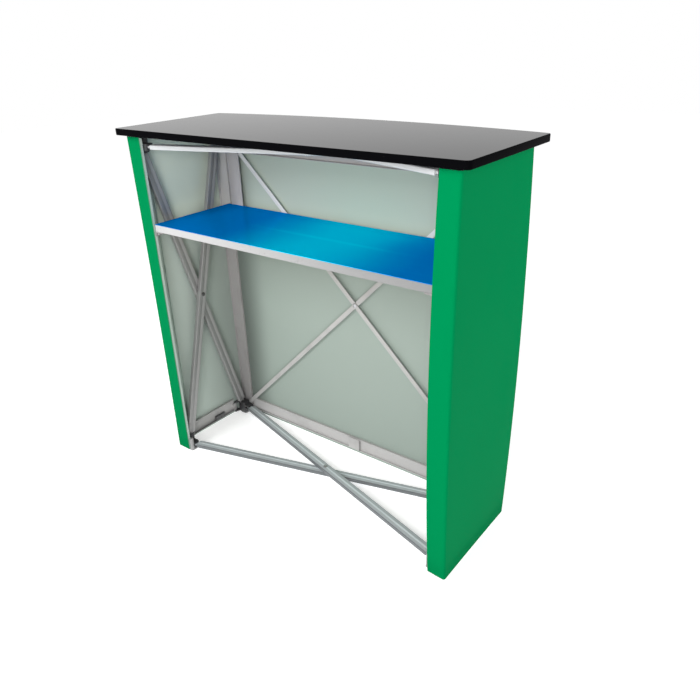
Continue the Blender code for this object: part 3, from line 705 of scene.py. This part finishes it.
def stand_for(obj: bpy.types.Object, *nodes: str) -> None:
    """Rides a piece on the body of the nodes that it stands for, hides them and reports it.

    Args:
        obj: the new piece.
        nodes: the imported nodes, all on one body.
    """
    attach(obj, BODY_OF[nodes[0]])
    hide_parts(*nodes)
    LOG.info("%s stands for %s on body %s", obj.name, ", ".join(nodes), BODY_OF[nodes[0]])


def dress(node: str, finish: Finish) -> None:
    """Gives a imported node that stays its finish, and reports it.

    Args:
        node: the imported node.
        finish: its finish.
    """
    obj = frame["nodes"][node]
    obj.material_slots[0].material = finish.material()
    LOG.info("%s keeps its shape and takes %s", node, finish.name)


def nodes_from(start: str) -> list[str]:
    """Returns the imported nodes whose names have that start, in order."""
    return sorted(node for node in frame["nodes"] if node.startswith(start))


@dataclass
class Run:
    """The line that a packed tube or strip follows, tip to tip, with its two cross directions."""

    start: Array
    along: Array
    tall: Array
    across: Array
    length: float

    @classmethod
    def of(cls, node: str, across: Triple) -> "Run":
        """Finds the tips: the middles of the points furthest out along the longest direction.

        A run that isn't level goes downwards, so in an end its tall side faces the customers.

        Args:
            node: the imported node.
            across: the direction of its thickness.

        Returns:
            The run.
        """
        mesh = frame["nodes"][node].data
        flat = np.empty(3 * len(mesh.vertices), np.float32)
        mesh.vertices.foreach_get("co", flat)
        points = flat.reshape(-1, 3).astype(float)
        middle = (points.min(0) + points.max(0)) / 2
        direction = np.linalg.svd(points - middle, full_matrices=False)[2][0]
        reach = (points - middle) @ direction
        tips = [points[np.abs(reach - end) < TIP_DEPTH] for end in (reach.min(), reach.max())]
        start, stop = ((tip.min(0) + tip.max(0)) / 2 for tip in tips)
        length = float(np.linalg.norm(stop - start))
        if stop[2] - start[2] > LEVEL_FALL:
            start, stop = stop, start
        along = (stop - start) / length
        thick = np.array(across)
        return cls(start, along, np.cross(thick, along), thick, length)

    def at(self, s: Array, a: Array, b: Array) -> Array:
        """Returns points at s along the run, a to its tall side and b through its thickness."""
        line = self.start + s[..., None] * self.along
        return line + a[..., None] * self.tall + b[..., None] * self.across


@dataclass
class Strut:
    """A flat tube with round edges, a low ridge down each wide face and ends crimped to tongues."""

    node: str
    across: Triple
    finish: Finish
    width: float = 0.026
    thickness: float = 0.013
    edge: float = 0.0022
    tongue: float = 0.0198
    tongue_width: float = 0.015
    tongue_thickness: float = 0.006
    crimp: float = 0.0049
    crown: float = 0.0006
    ridge: float = 0.0008
    ridge_foot: float = 2.2
    ridge_foot_share: float = 0.6
    tip_angle: float = 0.05
    body_gap: float = 0.02
    tip_steps: int = 7
    crimp_steps: int = 9
    body_steps: int = 6
    corner_steps: int = 6

    def build(self) -> None:
        """Carries a round-edged box along the run.

        The half width at distance d from a tip follows a circle's arc up to half the tongue's. It
        and the half thickness, the tongue's at first, rise by a smooth step over the crimp to the
        tube's. Each corner is an arc whose radius is the edge's, or half of the smaller of the two
        where they are less. A wide face rises by the crown from its corners to a narrow ridge on
        its middle line, or sinks to a groove if the crown is negative, and is flat on the tongue.
        """
        run = Run.of(self.node, self.across)
        half, flat = self.tongue_width / 2, self.tongue_thickness / 2
        tip = half * (1 - np.cos(np.linspace(self.tip_angle, math.pi / 2, self.tip_steps)))
        crimp = self.tongue + self.crimp * np.linspace(0, 1, self.crimp_steps)
        ends = np.concatenate([tip, crimp])
        body = np.linspace(ends[-1] + self.body_gap, run.length / 2, self.body_steps)
        s = np.concatenate([ends, body[:-1], run.length - np.concatenate([ends, body])[::-1]])
        d = np.minimum(s, run.length - s)
        rise = np.clip((d - self.tongue) / self.crimp, 0, 1)
        rise = rise * rise * (3 - 2 * rise)
        tall = half * np.sqrt(np.clip(1 - np.clip(1 - d / half, 0, 1) ** 2, 1e-6, 1))
        tall = (tall + (self.width / 2 - half) * rise)[:, None]
        thick = (flat + (self.thickness / 2 - flat) * rise)[:, None]
        radius = np.minimum(self.edge, np.minimum(tall, thick) / 2)
        low = thick - max(self.crown, 0.0) * rise[:, None]
        turn = np.linspace(0, math.pi / 2, self.corner_steps)
        quarters = [(1, 1, turn), (-1, 1, turn + math.pi / 2), (-1, -1, turn + math.pi),
                    (1, -1, turn + 3 * math.pi / 2)]
        a = [i * (tall - radius) + radius * np.cos(angle) for i, _, angle in quarters]
        b = [j * (low - radius) + radius * np.sin(angle) for _, j, angle in quarters]
        places = self.ridge * np.array([self.ridge_foot, 1.0, -1.0, -self.ridge_foot])
        heights = self.crown * np.array([self.ridge_foot_share, 1.0, 1.0, self.ridge_foot_share])
        ridge_a = tall / (self.width / 2) * places
        ridge_b = low + rise[:, None] * heights
        a = np.concatenate([a[0], ridge_a, a[1], a[2], ridge_a[:, ::-1], a[3]], 1)
        b = np.concatenate([b[0], ridge_b, b[1], b[2], -ridge_b, b[3]], 1)
        a, b = (np.concatenate([g[:1] * 0, g, g[-1:] * 0]) for g in (a, b))
        along = np.repeat(np.concatenate([s[:1], s, s[-1:]])[:, None], a.shape[1], 1)
        shell = Shell().add(run.at(along, a, b), np.stack([along, a, b], -1), around=True)
        stand_for(shell.piece(self.node + "_tube", [self.finish]), self.node)


@dataclass
class Brace:
    """A flat strip with round ends and eased edges, pinned at both ends."""

    node: str
    across: Triple = (0.0, 1.0, 0.0)
    width: float = 0.013
    thickness: float = 0.002
    edge: float = 0.0006
    end_steps: int = 25
    ease_steps: int = 4

    def build(self) -> None:
        """Carries an eased edge round the strip's outline and closes both faces on its middle line.

        The outline is the set of points at half the width from the line between the end centres:
        an angle gives a point's direction, and the centre that it turns about. Rows go from the
        middle line of one face, out over a quarter circle at each edge, to that of the other.
        """
        run = Run.of(self.node, self.across)
        half, count = self.width / 2, self.end_steps
        degrees = np.concatenate([np.linspace(90, 270, count), np.linspace(270, 450, count)])
        turn = degrees * math.pi / 180
        centre = np.where(np.arange(len(turn)) < count, half, run.length - half)
        quarter = np.linspace(0, math.pi / 2, self.ease_steps)
        ease, deep = self.edge * (1 - np.sin(quarter)), self.edge * (1 - np.cos(quarter))
        inset = np.concatenate([[half], ease, ease[::-1], [half]])
        depth = np.concatenate([[0], deep, self.thickness - deep[::-1], [self.thickness]])
        reach = (half - inset)[:, None]
        s = centre + reach * np.cos(turn)
        a = reach * np.sin(turn)
        b = np.repeat((depth - self.thickness / 2)[:, None], len(turn), 1)
        shell = Shell().add(run.at(s, a, b), around=True)
        stand_for(shell.piece(self.node + "_strip", [BRACE_PAINT]), self.node)


def turned(centre: Array, axis: Array, t: Array, r: Array, steps: int = 32) -> Array:
    """Returns a profile turned about an axis.

    Each row is a circle of radius r at distance t along the axis, in a plane square to it.

    Args:
        centre: a point on the axis.
        axis: its direction.
        t: distances along the axis.
        r: radii there, 0 at a pole.
        steps: points in a circle.

    Returns:
        The grid of points.
    """
    first = np.cross(axis, [0.0, 0.0, 1.0] if abs(axis[2]) < 0.9 else [1.0, 0.0, 0.0])
    first /= np.linalg.norm(first)
    second = np.cross(axis, first)
    angle = np.linspace(0, 2 * math.pi, steps, endpoint=False)
    circle = np.cos(angle)[:, None] * first + np.sin(angle)[:, None] * second
    return centre + t[:, None, None] * axis + r[:, None, None] * circle


@dataclass
class Rivet:
    """A rivet with a dome on both sides and a small set mark in each dome.

    The mark's radii and the dome's bulge are shares of the head's radius.
    """

    node: str
    finish: Finish
    head: float = 0.0022
    shank: float = 0.003
    mark: float = 0.0003
    mark_radii: tuple[float, ...] = (0.0, 0.16, 0.24, 0.3)
    bulge: float = 0.94
    dome_steps: int = 9

    def build(self) -> None:
        """Turns the profile: a dome like a part of a sphere, the shank and a like dome beyond."""
        low, high = (np.array(corner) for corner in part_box(self.node))
        size = high - low
        axis_index = int(np.argmax(np.abs(size - np.median(size))))
        axis = np.eye(3)[axis_index]
        reach, radius = size[axis_index] / 2, np.delete(size, axis_index).max() / 2
        share = np.linspace(0, 1, self.dome_steps)
        rim = self.mark_radii[-1]
        dome_r = radius * np.concatenate([self.mark_radii[:-1], rim + (1 - rim) * share])
        dome = self.head * (1 - np.sqrt(1 - (self.bulge * share) ** 2))
        dome_t = np.concatenate([[self.mark, self.mark, 0.0], dome]) - reach
        neck = reach - self.head
        r = np.concatenate([dome_r, [radius, self.shank, self.shank, radius], dome_r[::-1]])
        t = np.concatenate([dome_t, [-neck, -neck, neck, neck], -dome_t[::-1]])
        shell = Shell().add(turned((low + high) / 2, axis, t, r), around=True)
        stand_for(shell.piece(self.node + "_domed", [self.finish]), self.node)


@dataclass
class Screw:
    """A button-head screw with a six-sided socket, which holds a fitting to a bar."""

    name: str
    seat: Triple
    axis: Triple
    radius: float
    rim: float = 0.0022
    height: float = 0.0024
    socket: float = 0.0017
    socket_depth: float = 0.0013
    steps: int = 36
    dome_steps: int = 8

    def build(self) -> None:
        """Turns the head's profile, and squares the socket's circle into six flats.

        The socket's radius at an angle is its flat distance over the cosine of the angle from the
        nearest flat's middle. The dome is a quarter of an ellipse from the rim to the seat.
        """
        seat, axis = np.array(self.seat), np.array(self.axis)
        share = np.linspace(0, math.pi / 2, self.dome_steps)
        dome = np.sin(share) * (self.radius - self.rim) + self.rim
        floor = self.height - self.socket_depth
        r = np.concatenate([[0, 1, 1], dome, [0]])
        t = np.concatenate([[floor, floor, self.height], self.height * np.cos(share), [0]])
        grid = turned(seat, axis, t, r, self.steps)
        angle = np.linspace(0, 2 * math.pi, self.steps, endpoint=False)
        flats = self.socket / np.cos((angle + math.pi / 6) % (math.pi / 3) - math.pi / 6)
        middle = seat + t[1:3, None, None] * axis
        grid[1:3] = middle + (grid[1:3] - middle) * flats[:, None]
        obj = Shell().add(grid, around=True).piece(self.name, [RIVET_STEEL])
        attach(obj, "frame")
        LOG.info("%s rides body frame", self.name)


@dataclass
class Fitting:
    """A moulded, cut or folded fitting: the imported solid's form with its edges eased."""

    node: str
    finish: Finish
    edge: float
    segments: int = 2
    limit: float = math.radians(34)

    def build(self) -> None:
        """Merges a copy of the node's triangles into whole faces and eases its edges."""
        made = bmesh.new()
        made.from_mesh(frame["nodes"][self.node].data)
        bmesh.ops.remove_doubles(made, verts=made.verts, dist=MERGE_DISTANCE)
        bmesh.ops.dissolve_limit(made, angle_limit=FLAT_ANGLE, verts=made.verts, edges=made.edges)
        name = self.node + "_eased"
        obj = rounded_object(name, bpy.data.meshes.new(name), made, [self.finish])
        bevel = obj.modifiers.new("eased edges", "BEVEL")
        bevel.width = self.edge
        bevel.segments = self.segments
        bevel.limit_method = "ANGLE"
        bevel.angle_limit = self.limit
        bevel.use_clamp_overlap = True
        stand_for(obj, self.node)


def sheet_piece(name: str, faces: list[Array], back: Finish) -> bpy.types.Object:
    """Joins the printed and the bare face of a sheet by its four edges.

    Args:
        name: the piece's name.
        faces: the grids of the printed and of the bare face.
        back: the finish of the bare face.

    Returns:
        The piece.
    """
    shell = Shell().add(faces[0], look=0).add(faces[1], look=1)
    for edge in (0, -1):
        shell.add(np.stack([face[edge] for face in faces]), look=2)
        shell.add(np.stack([face[:, edge] for face in faces]), look=2)
    return shell.piece(name, [GREEN_PRINT, back, SHEET_CORE])


@dataclass
class EndSheet:
    """A printed sheet over one end of the counter, bent round the staff-side corner into a flange.

    The lifts are moves in x and y, at the bottom, at half height and at the top, of the flange's
    free edge, of the corner and of the rear edge: a sheet that magnets hold is never quite flat.
    """

    side: Sides
    free_edge: Lifts = STRAIGHT
    corner: Lifts = STRAIGHT
    rear: Lifts = STRAIGHT
    thickness: float = 0.002
    bend: float = 0.006
    flange_steps: int = 10
    bend_steps: int = 12
    end_steps: int = 40
    height_steps: int = 49

    def build(self) -> None:
        """Carries the sheet's plan up its height, as an outer and an inner face.

        The plan runs along the flange, round a quarter circle and along the end. A point's move is
        a blend of the three lifts by its share of the flange, and by the square of its share of
        the end. Over the height each lift follows the parabola through its three values.
        """
        sign = self.side.value
        node = f"panel_{self.side.name.lower()}"
        low, high = (np.array(corner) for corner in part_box(node))
        outer_x, free_x = (low[0], high[0]) if sign < 0 else (high[0], low[0])
        flange, end = np.linspace(0, 1, self.flange_steps), np.linspace(0, 1, self.end_steps)
        turn = np.linspace(0, math.pi / 2, self.bend_steps)[1:-1]
        bend = np.array([outer_x - sign * self.bend, low[1] + self.bend])
        round_bend = np.stack([sign * np.sin(turn), -np.cos(turn)], -1)
        way = np.concatenate([
            np.stack([free_x + (bend[0] - free_x) * flange, np.full_like(flange, low[1])], -1),
            bend + self.bend * round_bend,
            np.stack([np.full_like(end, outer_x), bend[1] + (high[1] - bend[1]) * end], -1)])
        inward = np.concatenate([np.tile([0.0, 1.0], (len(flange), 1)), -round_bend,
                                 np.tile([-float(sign), 0.0], (len(end), 1))])
        on_flange = np.concatenate([1 - flange, 0 * turn, 0 * end])
        on_end = np.concatenate([0 * flange, 0 * turn, end * end])
        h = np.linspace(0, 1, self.height_steps)
        weights = np.stack([(1 - h) * (1 - 2 * h), 4 * h * (1 - h), h * (2 * h - 1)], -1)
        shares = (on_flange, (1 - on_flange) * (1 - on_end), on_end)
        lift = sum(share[None, :, None] * (weights @ np.array(lifts))[:, None]
                   for share, lifts in zip(shares, (self.free_edge, self.corner, self.rear)))
        z = (low[2] + (high[2] - low[2]) * h)[:, None, None]
        z = np.broadcast_to(z, (*lift.shape[:2], 1))
        faces = [np.concatenate([way + depth * inward + lift, z], -1)
                 for depth in (0.0, self.thickness)]
        obj = sheet_piece(f"sheet_{self.side.name.lower()}", faces, LIT_END_SHEET_BACK)
        stand_for(obj, node)


@dataclass
class CustomerSheet:
    """The flat printed sheet of the customer side."""

    node: str = "panel_customer"
    steps: int = 25

    def build(self) -> None:
        """Makes two flat grids, printed outside and bare inside, joined by four edges."""
        low, high = (np.array(corner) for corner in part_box(self.node))
        x, z = np.meshgrid(*(np.linspace(low[i], high[i], self.steps) for i in (0, 2)))
        faces = [np.stack([x, np.full_like(x, y), z], -1) for y in (high[1], low[1])]
        stand_for(sheet_piece("sheet_customer", faces, SHEET_BACK), self.node)


@dataclass
class Band:
    """An edge band round a board, with its outer edges rounded over."""

    node: str
    finish: Finish
    corner: float
    ease: float
    thickness: float = 0.002
    bow: float = 0.0
    corner_steps: int = 7
    bow_steps: int = 81
    ease_steps: int = 6

    def outline(self) -> tuple[Array, Array, Array]:
        """Works out the outline as arcs: for each point its arc's centre, radius and direction.

        The corners are quarter circles. With a bow, the +Y edge is an arc through the rear corners
        and a point further out by the bow, and a rear corner's arc touches the side and that arc.

        Returns:
            Centres, radii and directions.
        """
        low, high = (np.array(corner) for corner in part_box(self.node))
        small, count = self.corner, self.corner_steps
        x, front = high[0] - small, low[1] + small
        degrees = math.pi / 180
        if self.bow:
            big = (high[0] ** 2 + self.bow ** 2) / (2 * self.bow)
            middle = high[1] - big
            y = middle + math.sqrt((big - small) ** 2 - x * x)
            turn = math.atan2(y - middle, x) / degrees
            rear = [(x, y, small, 0, turn, count),
                    (0, middle, big, turn, 180 - turn, self.bow_steps),
                    (-x, y, small, 180 - turn, 180, count)]
        else:
            y = high[1] - small
            rear = [(x, y, small, 0, 90, count), (-x, y, small, 90, 180, count)]
        arcs = [(x, front, small, 270, 360, count), *rear, (-x, front, small, 180, 270, count)]
        centres = np.concatenate([np.tile([a, b], (n, 1)) for a, b, _, _, _, n in arcs])
        radii = np.concatenate([np.full(n, r) for _, _, r, _, _, n in arcs])
        angles = [np.linspace(start, stop, n) for _, _, _, start, stop, n in arcs]
        angle = np.concatenate(angles) * degrees
        return centres, radii, np.stack([np.cos(angle), np.sin(angle)], -1)

    def build(self) -> None:
        """Carries a profile with a quarter circle at both outer edges round the outline."""
        low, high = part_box(self.node)
        centres, radii, direction = self.outline()
        quarter = np.linspace(0, math.pi / 2, self.ease_steps)
        inset = np.concatenate([[self.thickness], self.ease * (1 - np.sin(quarter))])
        drop = np.concatenate([[0.0], self.ease * (1 - np.cos(quarter))])
        inset = np.concatenate([inset, inset[::-1]])
        z = np.concatenate([high[2] - drop, low[2] + drop[::-1]])
        plan = centres + (radii - inset[:, None])[..., None] * direction
        z = np.broadcast_to(z[:, None, None], (*plan.shape[:2], 1))
        shell = Shell().add(np.concatenate([plan, z], -1), around=True, along=True)
        stand_for(shell.piece(self.node + "_band", [self.finish]), self.node)


@dataclass(frozen=True)
class SoftBox:
    """A square soft box that faces a target and leaves no mirror image; its power is in watts."""

    name: str
    place: Triple
    target: Triple
    size: float
    power: float

    def hang(self) -> None:
        """Hangs the box at its place and turns it to its target."""
        data = bpy.data.lights.new(self.name, "AREA")
        data.shape, data.size, data.energy = "SQUARE", self.size, self.power
        obj = bpy.data.objects.new(self.name, data)
        obj.location = self.place
        way = Vector(self.target) - Vector(self.place)
        obj.rotation_euler = way.to_track_quat("-Z", "Y").to_euler()
        obj.visible_glossy = False
        bpy.context.scene.collection.objects.link(obj)


@dataclass
class Studio:
    """Camera, pale floor and soft light.

    The camera's angles are in degrees, and its lens and sensor in millimetres. The surround's
    strength goes from the first to the second value between two heights of a direction.
    """

    eye: Triple = (1.0361, -1.2186, 1.1745)
    yaw: float = -38.229
    pitch: float = 25.354
    roll: float = -2.048
    lens: float = 33.69
    sensor: float = 36.0
    shift: Pair = (0.0007, -0.0117)
    clip: Pair = (0.01, 100.0)
    floor_half: float = 9.0
    surround_height: Pair = (0.2, 0.7)
    surround: Pair = (1.0, 0.35)
    boxes: tuple[SoftBox, ...] = (
        SoftBox("key", (-0.8, -2.3, 2.2), (0.0, 0.0, 0.6), 1.0, 50.0),
        SoftBox("fill", (1.4, -2.5, 1.35), (-0.2, 0.0, 0.8), 1.0, 42.0),
        SoftBox("side", (1.45, 1.05, 0.9), (0.48, 0.1, 0.5), 0.5, 9.0))

    def camera(self) -> None:
        """Sets the camera by its heading, tilt and roll."""
        data = bpy.data.cameras.new("camera")
        data.sensor_width, data.lens = self.sensor, self.lens
        data.shift_x, data.shift_y = self.shift
        data.clip_start, data.clip_end = self.clip
        place = Matrix.Translation(self.eye)
        for angle, axis in ((-self.yaw, "Z"), (90.0 - self.pitch, "X"), (self.roll, "Z")):
            place = place @ Matrix.Rotation(math.radians(angle), 4, axis)
        obj = bpy.data.objects.new("camera", data)
        obj.matrix_world = place
        bpy.context.scene.collection.objects.link(obj)
        bpy.context.scene.camera = obj

    def floor(self) -> None:
        """Lays the floor, flat and square."""
        side = np.linspace(-self.floor_half, self.floor_half, 3)
        x, y = np.meshgrid(side, side)
        shell = Shell().add(np.stack([x, y, np.zeros_like(x)], -1))
        mesh = bpy.data.meshes.new("floor")
        mesh.from_pydata(shell.points[0].tolist(), [], shell.faces[0].tolist())
        mesh.materials.append(FLOOR_GLOW.material())
        obj = bpy.data.objects.new("floor", mesh)
        bpy.context.scene.collection.objects.link(obj)

    def light(self) -> None:
        """Lights the scene from a white surround and from the soft boxes."""
        world = bpy.data.worlds.new("surround")
        world.use_nodes = True
        graph = Graph(world.node_tree, Coords.DIRECTION, "Background")
        graph.set("Color", (1.0, 1.0, 1.0))
        height = graph.axis(Axis.Z)
        graph.set("Strength", graph.step(height, *self.surround_height, *self.surround))
        bpy.context.scene.world = world
        for box in self.boxes:
            box.hang()

    def build(self) -> None:
        """Sets up the camera, the floor, the light and plain colours."""
        self.camera()
        self.floor()
        self.light()
        bpy.context.scene.view_settings.view_transform = "Standard"


@dataclass
class ScissorFrame:
    """The crossing tubes, their rivets and the hubs at the corners."""

    groove: float = -0.001
    hub_edge: float = 0.0007

    def build(self) -> None:
        """Builds the tubes of both ends, of the floor and under the top, then rivets and hubs."""
        for side in Sides:
            end = side.name.lower()
            for lies in ("inner", "outer"):
                Strut(f"strut_{end}_{lies}", (1.0, 0.0, 0.0), SHADED_END_TUBE, crown=self.groove).build()
            for level, finish in (("floor", LIT_FLOOR_TUBE), ("top", LIT_TOP_TUBE)):
                Strut(f"strut_{level}_from_staff_{end}", (0.0, 0.0, 1.0), finish).build()
            Rivet(f"rivet_{end}", RIVET_BLACK).build()
        for place in ("floor", "top", "customer"):
            Rivet(f"rivet_{place}", RIVET_STEEL).build()
        for node in nodes_from("hub_"):
            Fitting(node, HUB_PLASTIC, self.hub_edge).build()


@dataclass
class BarFrame:
    """The bars along the sheets' edges, the lock arms, the braces, the feet and what joins them.

    Each kind has the start of its nodes' names, its finish and how far its edges are eased.
    """

    kinds: tuple[tuple[str, Finish, float], ...] = (
        ("bar_staff_", CORNER_PAINT, 0.0005), ("bar_customer_floor_", FLOOR_BAR_PAINT, 0.0005),
        ("bar_customer_top", BAR_PAINT, 0.0005), ("bar_customer_left", UPRIGHT_PAINT, 0.0005),
        ("bar_customer_right", UPRIGHT_PAINT, 0.0005), ("lock_arm_", ARM_PAINT, 0.0005),
        ("coupler_", LATCH_PLASTIC, 0.0008), ("joiner_", FLOOR_BAR_PAINT, 0.0003),
        ("foot_", FOOT_PLASTIC, 0.0007))

    def build(self) -> None:
        """Builds each kind of piece in its own finish, then the braces."""
        for start, finish, edge in self.kinds:
            for node in nodes_from(start):
                Fitting(node, finish, edge).build()
        for node in ("brace_far", "brace_near"):
            Brace(node).build()


@dataclass
class ShelfSet:
    """The shelf with its band and laminate, and the hangers and brackets that carry it."""

    corner: float = 0.0025
    ease: float = 0.0010
    carrier_edge: float = 0.0006
    bracket_leg: float = 0.003
    screw_height: float = 0.005
    screw_radius: float = 0.0038

    def build(self) -> None:
        """Dresses the boards, carries the band round them and eases the carriers."""
        dress("shelf_board", BOARD_CORE)
        dress("shelf_laminate", SHELF_GLOSS)
        Band("shelf_edging", SHELF_BAND, self.corner, self.ease).build()
        for side in Sides:
            for kind, paint in (("hanger", HANGER_PAINT), ("bracket", BRACKET_PAINT)):
                node = f"shelf_{kind}_{side.name.lower()}"
                Fitting(node, paint, self.carrier_edge).build()
            self.screw(side)

    def screw(self, side: Sides) -> None:
        """Sets a screw in a bracket's leg, on the side that faces the middle of the counter.

        Args:
            side: the end that the bracket is at.
        """
        low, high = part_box(f"shelf_bracket_{side.name.lower()}")
        leg = self.bracket_leg
        x = (low[0] + leg) if side is Sides.LEFT else (high[0] - leg)
        seat = (x, (low[1] + high[1]) / 2, low[2] + self.screw_height)
        axis = (-float(side.value), 0.0, 0.0)
        Screw(f"bracket_screw_{side.name.lower()}", seat, axis, self.screw_radius).build()


@dataclass
class TopSet:
    """The loose top: a gloss board in a black band."""

    corner: float = 0.012
    ease: float = 0.0019
    bow: float = 0.045
    corner_steps: int = 9

    def build(self) -> None:
        """Dresses the board and carries the band round it."""
        dress("top_board", TOP_GLOSS)
        Band("top_edging", TOP_BAND, self.corner, self.ease, bow=self.bow,
             corner_steps=self.corner_steps).build()


@dataclass
class Sheets:
    """The three printed sheets, with the lifts of the two at the ends."""

    left_corner: Lifts = ((-0.003, 0.0), (0.0, 0.0), (-0.005, 0.0))
    right_free_edge: Lifts = ((0.0, -0.008), (-0.002, -0.020), (0.0, -0.001))
    right_corner: Lifts = ((0.0, -0.011), (-0.001, -0.014), (0.0, -0.003))
    right_rear: Lifts = ((0.002, 0.0), (0.0125, 0.0), (0.006, 0.0))

    def build(self) -> None:
        """Builds the end sheets, the right one standing off at half height, and the flat one."""
        EndSheet(Sides.LEFT, corner=self.left_corner).build()
        EndSheet(Sides.RIGHT, self.right_free_edge, self.right_corner, self.right_rear).build()
        CustomerSheet().build()


def main() -> None:
    """Builds the studio and each sub-assembly in order."""
    logging.basicConfig(level=logging.INFO, format="%(name)s: %(message)s")
    Studio().build()
    for assembly in (ScissorFrame(), BarFrame(), ShelfSet(), TopSet(), Sheets()):
        assembly.build()
        LOG.info("%s is built", type(assembly).__name__)


if __name__ == "__main__":
    main()
